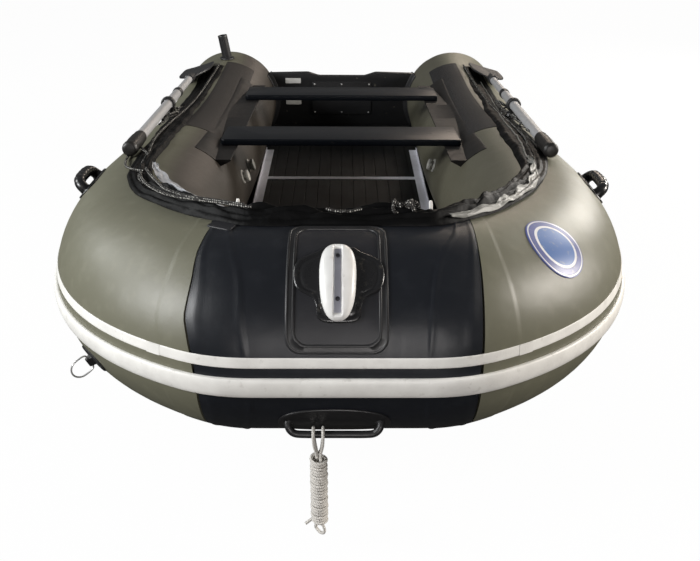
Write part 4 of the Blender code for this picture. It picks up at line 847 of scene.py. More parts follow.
for t in np.linspace(-0.84, 0.84, 33):
    floor_height = lead_low + 0.44 * (1 - abs(t)**3.2)**0.5 * lead_rise
    half_wide = min(groove_half, lead_half * (1 - abs(t)**2.7)**(1 / 2.4) * 0.8)
    ring = np.array(((-half_wide, 0.0004), (half_wide, 0.0004),
                     (half_wide, -0.0008), (-half_wide, -0.0008)))
    rows.append(on_tube(lead_centre + ring[:, 0], lead_angle + t * lead_reach,
                        floor_height + ring[:, 1]))
groove_shade = moulded("groove_painted_shade", (0.330, 0.335, 0.390), 0.42, 0.0002, 120.0, 0.4, 0.10)
fit(surface("fairlead_groove", rows, groove_shade, sharp=60), "light_plastic")


# Screws: steel pan heads with a dished recess, driven home. They are stood on their
# places, each along its own outward direction.
def brushed(name, colour, roughness, scale=40.0, stretch=(1.0, 1.0, 1.0), metallic=0.45):
    """Dull metal with its thin oxide skin: fine streaks, a few dull spots."""
    finish, tree, shader, spot = finish_nodes(name, roughness, metallic)
    where = spot.outputs["Object"]
    streak = grain(tree, where, scale, 4.0, stretch)
    dull = grain(tree, where, 18.0, 5.0).over(0.62, 0.08)
    base = blend_colour(tree, streak, shade(colour, 0.80), colour)
    skin(tree, shader, blend_colour(tree, dull * 0.35, base, shade(colour, 0.62)), streak,
         0.00008, streak * 0.14 + (roughness - 0.06) + dull * 0.12)
    return finish


steel = brushed("screw_steel", (0.62, 0.62, 0.61), 0.28, 300.0)
dark_steel = brushed("dark_steel", (0.045, 0.045, 0.055), 0.30, 300.0)


def screws(name, spots, radius, finish):
    """Pan heads on a list of places and outward directions, by instances on points."""
    profile = [(radius * 0.98, -0.0008), (radius, 0.0)]
    profile += [(radius * r, radius * z) for r, z in (
        (0.97, 0.25), (0.80, 0.44), (0.52, 0.54), (0.34, 0.56), (0.30, 0.30), (0.0, 0.18))]
    head = turned(name + "_head", profile, Matrix(), finish, 20, 30)
    cloud = bpy.data.meshes.new(name)
    cloud.from_pydata([tuple(p) for p, _ in spots], [], [])
    facing = cloud.attributes.new("facing", "FLOAT_VECTOR", "POINT")
    facing.data.foreach_set("vector", np.array([tuple(n) for _, n in spots], float).ravel())
    item = bpy.data.objects.new(name, cloud)
    bpy.context.scene.collection.objects.link(item)
    tree = bpy.data.node_groups.new(name, "GeometryNodeTree")
    tree.interface.new_socket("Geometry", in_out="INPUT", socket_type="NodeSocketGeometry")
    size = tree.interface.new_socket("Size", in_out="INPUT", socket_type="NodeSocketFloat")
    tree.interface.new_socket("Geometry", in_out="OUTPUT", socket_type="NodeSocketGeometry")
    take, give, read, align, place, real, paint, source = (
        tree.nodes.new(kind) for kind in (
            "NodeGroupInput", "NodeGroupOutput", "GeometryNodeInputNamedAttribute",
            "FunctionNodeAlignRotationToVector", "GeometryNodeInstanceOnPoints",
            "GeometryNodeRealizeInstances", "GeometryNodeSetMaterial", "GeometryNodeObjectInfo"))
    read.data_type = "FLOAT_VECTOR"
    read.inputs["Name"].default_value = "facing"
    align.axis = "Z"
    source.inputs["Object"].default_value = head
    paint.inputs["Material"].default_value = finish
    for first, second in ((take.outputs["Geometry"], place.inputs["Points"]),
                          (source.outputs["Geometry"], place.inputs["Instance"]),
                          (read.outputs["Attribute"], align.inputs["Vector"]),
                          (align.outputs["Rotation"], place.inputs["Rotation"]),
                          (take.outputs["Size"], place.inputs["Scale"]),
                          (place.outputs["Instances"], real.inputs["Geometry"]),
                          (real.outputs["Geometry"], paint.inputs["Geometry"]),
                          (paint.outputs["Geometry"], give.inputs["Geometry"])):
        tree.links.new(first, second)
    step = item.modifiers.new("heads", "NODES")
    step.node_group = tree
    step[size.identifier] = 1.0
    depsgraph = bpy.context.evaluated_depsgraph_get()
    mesh = bpy.data.meshes.new_from_object(item.evaluated_get(depsgraph))
    item.modifiers.remove(step)
    item.data = mesh
    bpy.data.objects.remove(head)
    fit(item, "steel_wire")


def facing_out(arc, angle, height):
    """A place on the tubes and the direction straight out of it."""
    spot = on_tube(arc, angle, height)
    return spot, (on_tube(arc, angle, height + 0.01) - spot) * 100


screws("fairlead_screws", [facing_out(lead_centre, angle, lead_low + 0.0092)
                           for angle in (43.5, 66.0)], 0.0046, dark_steel)


# D-ring: a ring bent and welded from steel wire, free to swing in a moulded eye. The eye
# stands on an oval rubber patch, which is glued low on the starboard bow.
ring_arc, ring_angle = -0.460, -22.5
ring_foot = pad("ring_foot", ring_arc, ring_angle, oval(0.040, 6.8 / round_tube, 2.2),
                [(0, 0.0003), (0, 0.0020), (0.001, 0.0030), (0.003, 0.0036)], (0.003, 0.0036),
                frame_rubber)
centre = on_tube(ring_arc, ring_angle, 0.0)
out = Vector(on_tube(ring_arc, ring_angle, 1.0) - centre)
bar_way = Vector((-0.3201, -0.2069, 0.9245))
bar_way = (bar_way - bar_way.dot(out) * out).normalized()
eye_spot = Vector(centre) + out * 0.0105
over_way = out.cross(bar_way)
ring_eye = turned("ring_eye", [(0.0, -0.0110), (0.0056, -0.0110), (0.0064, -0.0102),
                               (0.0064, 0.0102), (0.0056, 0.0110), (0.0, 0.0110)],
                  aimed(eye_spot, bar_way), frame_rubber, 32)
ring_web = surface("ring_web", [[eye_spot + bar_way * b + over_way * a - out * drop
                                 for a, drop in ((-0.0063, 0.0), (0.0063, 0.0),
                                                 (0.0105, 0.0085), (-0.0105, 0.0085))]
                                for b in (-0.0108, 0.0108)], frame_rubber)
fit(ring_foot, "black_rubber", "d_ring_patch")
fit(ring_eye, "black_rubber")
fit(ring_web, "black_rubber")


def closed_ring(name, rows, finish):
    """A surface whose last row joins its first."""
    item = surface(name, rows + rows[:1], finish, ends=False)
    shape = bmesh.new()
    shape.from_mesh(item.data)
    bmesh.ops.remove_doubles(shape, verts=shape.verts, dist=0.00001)
    bmesh.ops.recalc_face_normals(shape, faces=shape.faces)
    shape.to_mesh(item.data)
    shape.free()
    return item


wire_radius = 0.0020
loop = [(x, 0.0) for x in np.linspace(-0.0150, 0.0150, 7)]
loop += [(0.0185, 0.0012), (0.0212, 0.0050), (0.0224, 0.0110), (0.0226, 0.0180)]
loop += [(0.0225 * cos(t), 0.0240 + 0.0225 * sin(t)) for t in np.linspace(0, pi, 19)]
loop += [(-0.0226, 0.0180), (-0.0224, 0.0110), (-0.0212, 0.0050), (-0.0185, 0.0012)]
path = np.array([tuple(eye_spot + bar_way * x + out * z) for x, z in loop])
path = flowing(list(path) + [path[0]], 3)[:-1]
rows = []
flat = np.array(over_way)
for k, spot in enumerate(path):
    course = path[(k + 1) % len(path)] - path[k - 1]
    over = np.cross(course / np.linalg.norm(course), flat)
    rows.append([spot + wire_radius * (cos(t) * flat + sin(t) * over) for t in around(14)])
ring_steel = brushed("ring_steel", (0.66, 0.66, 0.65), 0.22, 200.0)
fit(closed_ring("d_ring_wire", rows, ring_steel), "steel_wire", "d_ring", body="d_ring")


# Air valves: a pale moulded flange in the fabric of each chamber with a screw cap, whose
# side is ribbed for the fingers.
def ribbed_cap(name, place, rings, sides, ribs, depth, finish):
    """A round cap of rings, each with its radius, its height and its share of the ribs."""
    turns = around(sides)
    rows = []
    for reach, height, rib in rings:
        radii = reach * (1 + rib * depth * np.cos(turns * ribs))
        rows.append([place @ Vector((r * cos(t), r * sin(t), height))
                     for r, t in zip(radii, turns)])
    return surface(name, rows, finish)


valve_plastic = moulded("valve_plastic", (0.018, 0.018, 0.019), 0.40)
valve_pale = moulded("valve_pale", (0.60, 0.59, 0.55), 0.38)
for name, distance, side in (("starboard_fore_valve", 1.339, -1),
                             ("starboard_aft_valve", 1.509, -1), ("port_valve", 1.521, 1)):
    place = aimed(*(Vector(v) for v in facing_out(along(distance, side), 165.0, 0.0)))
    flange = turned(name + "_flange", [(0.0242, 0.0), (0.0242, 0.0032), (0.0234, 0.0046),
                                       (0.0215, 0.0052), (0.0165, 0.0054), (0.0152, 0.0062),
                                       (0.0150, 0.0132), (0.0, 0.0132)], place, valve_pale)
    cap = ribbed_cap(name + "_cap_top", place,
                     ((0.0202, 0.0138, 0), (0.0204, 0.0147, 1), (0.0204, 0.0213, 1),
                      (0.0192, 0.0234, 0.6), (0.0165, 0.0243, 0), (0.0120, 0.0240, 0),
                      (0.0105, 0.0225, 0), (0.0001, 0.0222, 0)), 96, 16, 0.022, valve_pale)
    fit(flange, "light_plastic", name)
    fit(cap, "light_plastic", name + "_cap", body=name + "_cap")


# Floor: three panels of dark planks, joined end to end and edged by extruded alloy
# sections. These keep their drawn shapes and get their finishes here.
def bare(name, finish):
    """Gives a drawn piece its finish in every slot."""
    item = bpy.data.objects[name]
    for slot in item.material_slots:
        slot.link = "OBJECT"
        slot.material = finish


plank_width = 0.0500


def plank_panel(name, colour):
    """Planks that run fore and aft with dark gaps between them, scuffed and dusty."""
    finish, tree, shader, spot = finish_nodes(name, 0.56, specular=0.25)
    where = spot.outputs["Object"]
    across = Level(tree, node(tree, "SeparateXYZ", {}, where).outputs[0])
    turn = across * (2 * pi / plank_width)
    gap = turn.maths("COSINE", turn).over(0.965, 0.015)
    streak = grain(tree, where, 5.0, 5.0, (9.0, 0.7, 1.0))
    dirt = grain(tree, where, 8.0, 6.0).over(0.56, 0.16)
    base = blend_colour(tree, streak, shade(colour, 0.72), shade(colour, 1.2))
    base = blend_colour(tree, dirt * 0.30, base, (0.030, 0.027, 0.022))
    base = blend_colour(tree, gap * 0.75, base, (0.002, 0.002, 0.002))
    skin(tree, shader, base, streak * 0.4 - gap * 2.0, 0.0006,
         streak * 0.15 + 0.48 + dirt * 0.10)
    return finish


panel = plank_panel("plank_panel", (0.0060, 0.0066, 0.0072))
for name in ("mid_floor_panel", "aft_floor_panel", "fore_floor_panel"):
    bare(name, panel)
alloy = brushed("brushed_alloy", (0.90, 0.90, 0.97), 0.42, 120.0, (1.0, 0.12, 1.0), 0.15)
for name in ("fore_floor_joiner", "aft_floor_joiner", "starboard_stringer", "port_stringer"):
    bare(name, alloy)


# Transom: a painted marine board with round edges and a notch for the motor, clamped in
# moulded channels, with a plastic plate screwed to each face.
def board(name, outline, low, high, finish, round_edge, place):
    """A flat board from its outline, its edges rounded over, moved to its place."""
    shape = bmesh.new()
    verts = [shape.verts.new((x, y, low)) for x, y in outline]
    face = shape.faces.new(verts)
    lifted = bmesh.ops.extrude_face_region(shape, geom=[face])["geom"]
    bmesh.ops.translate(shape, verts=[v for v in lifted if isinstance(v, bmesh.types.BMVert)],
                        vec=(0, 0, high - low))
    bmesh.ops.recalc_face_normals(shape, faces=shape.faces)
    edges = [e for e in shape.edges if abs(e.verts[0].co.z - e.verts[1].co.z) < 0.00001]
    bmesh.ops.bevel(shape, geom=edges, offset=round_edge, segments=4, profile=0.5, affect="EDGES",
                    clamp_overlap=True)
    bmesh.ops.transform(shape, matrix=place, verts=shape.verts)
    mesh = bpy.data.meshes.new(name)
    shape.to_mesh(mesh)
    shape.free()
    return piece(name, mesh, finish, 30)


def painted(name, colour, roughness, scale=1.0, fleck=(0.20, 0.18, 0.14), specular=0.5):
    """Brushed paint on board: faint strokes, small chips and dust."""
    finish, tree, shader, spot = finish_nodes(name, roughness, specular=specular)
    where = spot.outputs["Object"]
    stroke = grain(tree, where, 22.0 * scale, 4.0, (0.25, 1.0, 1.0))
    chip = grain(tree, where, 45.0 * scale, 6.0).over(0.70, 0.02)
    base = blend_colour(tree, stroke, shade(colour, 0.75), shade(colour, 1.15))
    skin(tree, shader, blend_colour(tree, chip * 0.4, base, fleck),
         stroke + grain(tree, where, 260.0, 1.0) * 0.3 - chip * 0.6, 0.0004,
         stroke * 0.18 + (roughness - 0.08))
    return finish


notch_half, notch_bottom, notch_top_half, notch_top = 0.122, 0.347, 0.170, 0.364
side_reach, near_face, far_face, transom_station = 0.237, -1.196, -1.224, 2.799
side_curve = [(side_offset - side_reach * cos(turn), tube_radius + side_reach * sin(turn))
              for turn in np.radians(np.linspace(36.0, -50.0, 36)[1:])]
outline = [(0.0, notch_bottom), (notch_half - 0.012, notch_bottom),
           (notch_half - 0.004, notch_bottom + 0.0010),
           (notch_half + 0.004, notch_bottom + 0.0030),
           (notch_top_half - 0.010, notch_top - 0.0030),
           (notch_top_half - 0.002, notch_top - 0.0006), (notch_top_half + 0.008, notch_top),
           (side_curve[0][0] - 0.010, side_curve[0][1] + 0.0040), *side_curve,
           (0.30, 0.0235), (0.20, 0.0225), (0.0, 0.022)]
outline += [(-x, y) for x, y in reversed(outline[1:-1])]
black_board = painted("black_board", (0.010, 0.010, 0.011), 0.45)
upright = Matrix(((1, 0, 0, 0), (0, 0, -1, 0), (0, 1, 0, 0), (0, 0, 0, 1)))
transom = board("transom", outline, far_face, near_face, black_board, 0.004, upright)
fit(transom, "black_board", "transom_board")
channel = [(-0.041, 0.0003), (0.041, 0.0003), (0.041, 0.0016), (0.037, 0.0030),
           (0.0200, 0.0040), (0.0188, 0.0060), (0.0184, 0.0190), (0.0172, 0.0208),
           (0.0152, 0.0208), (0.0143, 0.0195), (0.0143, 0.0050)]
channel = np.array(channel + [(-a, h) for a, h in reversed(channel[2:])])
for side, hand in hands:
    rows = [on_tube(along(transom_station, side) + channel[:, 0], angle, channel[:, 1])
            for angle in np.linspace(146.0, 226.0, 40)]
    fit(surface(hand + "_holder", rows, frame_rubber, sharp=35), "black_rubber",
        hand + "_transom_holder")
plate_wide, plate_tall, plate_z = 0.150, 0.084, 0.234
plate_plastic = moulded("plate_plastic", (0.020, 0.020, 0.021), 0.38, 0.0005, 90.0)
for name, low, high in (("inner_motor_plate", near_face + 0.0003, near_face + 0.0063),
                        ("outer_motor_plate", far_face - 0.0063, far_face - 0.0003)):
    plate = board(name + "_face", rounded(plate_wide, plate_tall, 0.012) + (0.0, plate_z),
                  low, high, plate_plastic, 0.0015, upright)
    fit(plate, "black_plastic", name)
corners = [(x, plate_z + z) for x in (-0.138, 0.0, 0.138) for z in (-0.072, 0.072)]
screws("plate_screws", [((x, 1.1898, z), (0, -1, 0)) for x, z in corners]
       + [((x, 1.2302, z), (0, 1, 0)) for x, z in corners], 0.0042, steel)
label_alloy = moulded("label_plate", (0.62, 0.62, 0.60), 0.36, 0.0002, 60.0, 0.5, 0.25)
for name, z in (("upper_name_plate", 0.322), ("lower_name_plate", 0.213)):
    label = board(name, rounded(0.039, 0.013, 0.003) + (-0.246, z), near_face - 0.0002,
                  near_face + 0.0010, label_alloy, 0.0004, upright)
    fit(label, "light_plastic")
plug = ribbed_cap("drain_cap", aimed((-0.200, 1.2243, 0.075), (0, 1, 0)),
                  ((0.0240, 0.0, 0), (0.0240, 0.0022, 0), (0.0230, 0.0030, 0),
                   (0.0182, 0.0034, 0), (0.0180, 0.0050, 1), (0.0180, 0.0104, 1),
                   (0.0168, 0.0118, 0.5), (0.0130, 0.0120, 0), (0.0120, 0.0105, 0),
                   (0.0001, 0.0104, 0)), 80, 10, 0.03, valve_plastic)
fit(plug, "black_plastic", "drain_plug", body="drain_plug")


# Seats: varnished black boards with rounded edges that slide on rubber shelves welded
# along the inside of the tubes.
shelf_inset, shelf_skin, welt_skin = 0.208, 0.0034, 0.0003
shelf_slope, shelf_high, shelf_start, shelf_end = 0.07880305711607279, 0.47995, 1.130, 2.420


def shelf_level(y):
    """The height of the shelves' upper faces, which fall evenly aft."""
    return shelf_high - shelf_slope * (y - (bow_face + 1.354))


shelf_rubber = moulded("shelf_rubber", (0.0110, 0.0100, 0.0095), 0.52, 0.0004, 200.0, 0.25)
for side, hand in hands:
    rows = []
    for arc in arcs_between(along(shelf_start), along(shelf_end), 0.02, 0.02):
        y = on_tube(side * arc, 90.0)[1]
        lift = shelf_level(y) - float(sheer(y))
        root = 180 - degrees(np.arcsin(min(0.999, lift / (tube_radius + shelf_skin))))
        on_skin = [(114.5, welt_skin), (122.0, welt_skin), (132.0, welt_skin), (141.0, welt_skin),
                   (141.0, 0.0020), (root, shelf_skin), ((root + 116.5) / 2, shelf_skin),
                   (116.5, shelf_skin), (115.0, 0.0016)]
        ring = [(-(tube_radius + h) * cos(radians(a)), (tube_radius + h) * sin(radians(a)))
                for a, h in on_skin]
        ring[5:5] = [(shelf_inset - 0.0012, lift - 0.0055), (shelf_inset, lift - 0.0045),
                     (shelf_inset, lift - 0.0012), (shelf_inset - 0.0012, lift)]
        rows.append([(side * (side_offset - x), y, sheer(y) + z) for x, z in ring])
    fit(surface(hand + "_shelf", rows, shelf_rubber, sharp=30), "black_rubber",
        hand + "_seat_rail")
seat_black = painted("seat_black", (0.0035, 0.0045, 0.0065), 0.30, 0.7, (0.03, 0.027, 0.025), 0.20)
seat_half, seat_thick, play = 0.408, 0.0220, 0.0003
shelf_up = Vector((0, shelf_slope, 1)).normalized()
for name, distance, half_width in (("fore_seat", 1.428, 0.097), ("aft_seat", 2.173, 0.095)):
    y = bow_face + distance
    seat = board(name + "_board", rounded(seat_half, half_width, 0.014), play, play + seat_thick,
                 seat_black, 0.0045, aimed((0, y, shelf_level(y)), shelf_up, (1, 0, 0)))
    fit(seat, "seat_black", name, body=name)


# Oars: an alloy shaft in two lengths that slide together and are held by a black clip, a
# moulded grip and a flat blade with a ribbed socket. Each turns in a lock on a pad.
lock_point, lock_up = (0.63677, 0.046, 0.53762), (0.27835, 0.08623, 0.9566)
oar_line, lock_station, pin_drop, boss_drop = (0.04241, 0.99389, -0.10193), 1.635, 0.050, 0.047
shaft_alloy = brushed("shaft_alloy", (0.56, 0.56, 0.57), 0.44, 160.0, (1.0, 0.15, 1.0), 0.30)
grip_rubber = moulded("grip_rubber", (0.012, 0.011, 0.010), 0.42)
blade_black = moulded("blade_plastic", (0.020, 0.020, 0.022), 0.42, 0.0005, 150.0, 0.5, 0.2)
grip_start, shaft_start, neck, clip_start = -0.7134, -0.545, 0.5685, 0.2140
outer_tube, inner_tube, blade_half, blade_length = 0.0165, 0.0146, 0.075, 0.4197
shaft_profile = [(0.0148, shaft_start), (outer_tube, shaft_start), (outer_tube, 0.236),
                 (0.0160, 0.2375), (inner_tube, 0.2378), (inner_tube, neck), (0.0, neck)]
clip_profile = [(r, clip_start + z) for r, z in (
    (inner_tube, 0.0), (0.0182, 0.0), (0.0186, 0.0015), (0.0186, 0.022), (0.0196, 0.024),
    (0.0196, 0.033), (0.0184, 0.035), (0.0172, 0.048), (inner_tube, 0.050))]
grip_profile = [(r, shaft_start + z) for r, z in (
    (0.0170, 0.003), (0.0192, 0.001), (0.0198, -0.004), (0.0196, -0.012), (0.0192, -0.020))]
grip_profile += [(0.0194 + 0.0020 * sin(pi * k / 20)**0.7 + 0.0005 * (k % 2),
                  shaft_start - 0.024 - 0.0060 * k) for k in range(1, 20)]
grip_profile += [(r, grip_start + z) for r, z in (
    (0.0212, 0.030), (0.0222, 0.024), (0.0225, 0.014), (0.0214, 0.006), (0.0180, 0.0018),
    (0.0120, 0.0003), (0.0, 0.0))]
grip_profile.sort(key=lambda pair: -pair[1])
socket_profile = [(r, neck + z) for r, z in (
    (0.0, 0.0003), (0.0172, 0.0003), (0.0200, 0.002), (0.0205, 0.008), (0.0198, 0.011),
    (0.0200, 0.040), (0.0188, 0.085), (0.0140, 0.108), (0.0060, 0.115), (0.0, 0.116))]
blade_widths = (                                  # a share of its length, of its half width
    (0.0, 0.16), (0.012, 0.19), (0.05, 0.215), (0.10, 0.255), (0.16, 0.33), (0.24, 0.48),
    (0.32, 0.72), (0.42, 0.935), (0.54, 0.995), (0.66, 1.0), (0.78, 1.0), (0.88, 0.995),
    (0.94, 0.95), (0.975, 0.86), (0.992, 0.74), (1.0, 0.60))
blade_rings = []
across = np.linspace(-1, 1, 25)
for share, wide in blade_widths:
    half_width = blade_half * wide
    rib = (0.0030 * np.exp(-(across * half_width / 0.010)**2)
           * np.clip((0.92 - share) / 0.25, 0, 1))
    lip = (0.0014 * np.clip((np.abs(across) - 0.86) / 0.10, 0, 1)
           * np.clip(share * 4 - 0.6, 0, 1))
    thin_end = 1 - np.clip((share - 0.97) / 0.03, 0, 1) * 0.5
    thick = np.minimum(0.0022 + rib + lip, 0.0050) * thin_end
    z = np.full(25, neck + 0.0003 + share * blade_length)
    face = np.stack([across * half_width, thick, z], axis=1)
    blade_rings.append(np.concatenate([face, face[::-1] * (1, -1, 1)]))
lock_section = [(0.02185 + 0.00465 * np.sign(cos(t)) * abs(cos(t))**0.7,
                 0.0120 * np.sign(sin(t)) * abs(sin(t))**0.7) for t in around(24)]
pin_profile = [(0.0, 0.0), (0.0052, 0.0), (0.0060, 0.0010), (0.0060, 0.018), (0.0100, 0.0208),
               (0.0104, 0.0235), (0.0088, 0.0262), (0.0, 0.0262)]
boss_profile = [(0.0172, -0.012), (0.0168, 0.0), (0.0162, 0.0110), (0.0150, 0.0160),
                (0.0142, 0.0170), (0.0100, 0.0170), (0.0066, 0.0168), (0.0064, 0.0140),
                (0.0, 0.0140)]
for side, hand in hands:
    lock, way, up = (Vector((side * x, y, z)) for x, y, z in (lock_point, oar_line, lock_up))
    place, oar = aimed(lock, way, way.cross(up)), hand + "_oar"
    shaft = turned(hand + "_shaft", shaft_profile, place, shaft_alloy, 40)
    clip = turned(hand + "_clip", clip_profile, place, valve_plastic, 40)
    grip = turned(hand + "_grip", grip_profile, place, grip_rubber, 40, 50)
    socket = turned(hand + "_socket", socket_profile, place, blade_black, 40)
    blade = surface(hand + "_blade", [[place @ Vector(spot) for spot in ring]
                                      for ring in blade_rings], blade_black)
    fit(shaft, "anodised_trim", oar + "_shaft", body=oar)
    fit(grip, "black_rubber", oar + "_grip", body=oar)
    fit(blade, "black_plastic", oar + "_blade", body=oar)
    fit(clip, "black_plastic", body=oar)
    fit(socket, "black_plastic", body=oar)
    ring = closed_ring(hand + "_lock_ring", [[place @ Vector((r * cos(t), r * sin(t), z))
                                              for r, z in lock_section] for t in around(64)],
                       valve_plastic)
    pin = turned(hand + "_lock_pin", pin_profile, aimed(lock - up * pin_drop, up),
                 valve_plastic, 32)
    fit(ring, "black_plastic", hand + "_oarlock", body=hand + "_lock")
    fit(pin, "black_plastic", body=hand + "_lock")
    arc = along(lock_station, side)
    spoke = [lock[k] - np.interp(arc, line_arcs, line[:, k]) for k in range(3)]
    foot = pad(hand + "_lock_foot", arc, degrees(np.arctan2(spoke[2], side * spoke[0])),
               oval(0.045, 6.5 / round_tube, 3.2),
               [(0, 0.0003), (0, 0.0040), (0.001, 0.0066), (0.004, 0.0092), (0.008, 0.0106)],
               (0.008, 0.0109), worn_rubber)
    boss = turned(hand + "_boss", boss_profile, aimed(lock - up * boss_drop, up),
                  worn_rubber, 40)
    fit(foot, "black_rubber", hand + "_oarlock_base")
    fit(boss, "black_rubber")


# Rod holder: a moulded black cup that leans outboard, on a round flange that is fixed on
# top of the starboard quarter.
lean, cup_radius = radians(9), 0.0225
spot = Vector((-side_offset, 1.111, 0.452))
flange = turned("rod_flange", [(0.034, 0.0), (0.034, 0.0045), (0.0328, 0.0064),
                               (0.0300, 0.0074), (0.0, 0.0080)],
                aimed(spot, (0, 0, 1)), valve_plastic)
cup = turned("rod_cup", [(0.0, -0.002), (0.0222, -0.002), (cup_radius, 0.004),
                         (cup_radius, 0.070), (0.0222, 0.090), (cup_radius, 0.097),
                         (cup_radius, 0.1035), (0.0216, 0.105), (0.0200, 0.105), (0.0188, 0.103),
                         (0.0186, 0.098), (0.0185, 0.0145), (0.0, 0.014)],
             aimed(spot + Vector((0, 0, 0.004 + cup_radius * sin(lean))),
                   (-sin(lean), 0, cos(lean))), valve_plastic)
fit(flange, "black_plastic")
fit(cup, "black_plastic", "rod_holder")


# Spray flap: thin coated cloth welded round the coaming and rolled back on itself, so
# that it stands as a crumpled roll over the bow and its pale lining shows in places.
flap_edges = {            # distance aft: inner angle, outer angle, height of the roll
    -1: ((0.225, 113.0, 97.5, 0.035), (0.400, 110.0, 92.0, 0.030), (0.494, 103.0, 86.5, 0.024),
         (0.684, 99.0, 82.0, 0.017), (0.867, 97.0, 82.0, 0.013), (1.085, 97.0, 80.0, 0.011),
         (1.310, 95.0, 74.0, 0.010), (1.900, 89.0, 67.0, 0.008), (2.560, 90.5, 66.0, 0.005)),
    1: ((0.225, 113.0, 97.5, 0.035), (0.400, 113.0, 98.0, 0.030), (0.500, 112.0, 94.0, 0.026),
        (0.615, 110.0, 90.0, 0.022), (0.718, 102.0, 86.0, 0.018), (0.944, 102.0, 77.0, 0.015),
        (1.254, 98.0, 71.0, 0.013), (1.950, 88.0, 65.0, 0.009), (2.560, 86.0, 62.0, 0.005)),
}
folds = np.array((0.0, 0.45, 0.85, 1.0, 0.80, 0.62, 0.78, 0.95, 0.70, 0.42, 0.55, 0.68, 0.40,
                  0.22, 0.34, 0.24, 0.0))         # heights across it, from its inner edge
creases = ((19, 4, 1.0), (37, 7, 0.8), (71, 11, 0.45), (127, 17, 0.18))


def crumple(arc, share, seed):
    """A crumpled field from nought to one, even over the cloth."""
    total = 0.0
    for n, (along_rate, over_rate, weight) in enumerate(creases):
        wander = seed * 1.7 + n * 2.1 + 1.3 * np.sin(arc * along_rate * 0.37 + n)
        over = share * over_rate * (1 if n % 2 else -1)
        total = total + weight * np.sin(arc * along_rate + over + wander)
    return np.clip(0.5 + total / 4.0, 0, 1)


def flap_point(arc, share):
    """Angle and height of the cloth at an arc and a share across it from its inner edge."""
    distance = np.interp(arc, line_arcs, line[:, 1]) - bow_face
    starboard, port = (np.array(flap_edges[side]) for side in (-1, 1))
    inner, outer, fold = (np.where(arc < 0, np.interp(distance, starboard[:, 0], starboard[:, n]),
                                   np.interp(distance, port[:, 0], port[:, n]))
                          for n in (1, 2, 3))
    flare = np.sin(arc * 13.0) + 0.45 * np.sin(arc * 41.0 + 2 * np.sin(arc * 9.0))
    flare = flare * np.clip(distance - 0.5, 0.2, 1) * (2 * share - 1)
    height = fold * np.interp(share, np.linspace(0, 1, len(folds)), folds)
    return (inner + (outer - inner) * share + flare,
            0.0012 + height * (0.62 + 0.62 * crumple(arc, share, 0.0)))


def flap_height(arc, angle):
    """The height of the cloth at an arc, under or over a given angle."""
    inner, outer = (flap_point(arc, edge)[0] for edge in (0.0, 1.0))
    return flap_point(arc, np.clip((angle - inner) / (outer - inner), 0, 1))[1]


flap_end, cloth_thick = along(2.560), 0.0007
arcs = np.arange(-flap_end, flap_end, 0.0065)[:, None]
angle, height = flap_point(arcs, np.linspace(0, 1, 41)[None, :])
top = on_tube(arcs, angle, height)
under = on_tube(arcs, angle, np.maximum(height - cloth_thick, 0.0004))


def crumpled_cloth(name, colour, roughness, specular, crease_depth):
    """Thin coated cloth with sharp creases: painted shade in their folds, painted highlight on
    their crests.
    """
    finish, tree, shader, spot = finish_nodes(name, roughness, specular=specular)
    where = spot.outputs["Object"]
    crease = grain(tree, where, 22.0, 3.0)
    # Painted shade where the relief is low and a painted highlight where it is high.
    base = blend_colour(tree, crease, shade(colour, 0.55), shade(colour, 1.30))
    skin(tree, shader, base, crease, crease_depth, crease * 0.24 + (roughness - 0.12))
    return finish


flap_cloth = crumpled_cloth("flap_cloth", (0.0020, 0.0020, 0.0022), 0.54, 0.11, 0.0050)
silver_cloth = crumpled_cloth("silver_cloth", (0.52, 0.53, 0.56), 0.34, 0.6, 0.0060)
lining_cloth = crumpled_cloth("lining_cloth", (0.20, 0.20, 0.185), 0.45, 0.5, 0.0060)
flap = surface("spray_flap_cloth", np.concatenate([top, under[:, ::-1]], axis=1), flap_cloth,
               sharp=80)
fit(flap, "flap_cloth", "spray_flap")
linings, span = [], np.linspace(0, 1, 13)[None, :]
for name, side, lift, keys in (                   # distance aft: inner angle, outer angle
        ("port_lining", 1, 0.0030,
         ((0.590, 92.0, 97.0), (0.650, 92.5, 97.0), (0.700, 93.0, 96.0), (0.780, 94.0, 96.5),
          (0.862, 94.5, 95.8))),
        ("port_bow_lining", 1, 0.0060,
         ((0.243, 98.0, 100.0), (0.300, 97.5, 101.0), (0.380, 98.0, 102.0),
          (0.450, 96.5, 100.5), (0.520, 93.5, 98.0), (0.600, 92.0, 96.5))),
        ("starboard_lining", -1, 0.0160,
         ((0.262, 112.5, 119.0), (0.300, 112.0, 123.0), (0.360, 111.0, 123.5),
          (0.440, 106.0, 117.0), (0.540, 102.0, 111.0), (0.640, 99.5, 106.0),
          (0.740, 97.5, 100.0)))):
    keys = np.array([(along(distance, side), *edges) for distance, *edges in keys][::side])
    spots = np.arange(keys[0, 0], keys[-1, 0], 0.005)[:, None]
    low, high = (np.interp(spots, keys[:, 0], keys[:, n]) for n in (1, 2))
    wobble = 0.8 * np.sin(spots * 57 + side)
    across = low + (high - low) * span + wobble * (0.3 + 0.7 * span)
    rise = lift + 0.0045 * crumple(spots * 1.3, span * 2.0, 5.0)
    upper, lower = (on_tube(spots, across, flap_height(spots, across) + rise - drop)
                    for drop in (0.0, 0.0006))
    lining = surface(name, np.concatenate([upper, lower[:, ::-1]], axis=1),
                     lining_cloth if side > 0 else silver_cloth, sharp=80)
    fit(lining, "flap_cloth")
    linings.append(lining)
tab = pad("roll_tab", -0.243, 92.0, rounded(0.027, 0.0170, 0.006),
          [(0, 0.0012), (0, 0.0030), (0.001, 0.0040)], (0.002, 0.0042), patch_cloth)
fit(tab, "flap_cloth")
piping_keys = [(0.822, 94.0), (0.903, 95.0), (1.174, 89.0), (1.455, 86.0), (1.957, 76.0),
               (2.300, 74.0)]
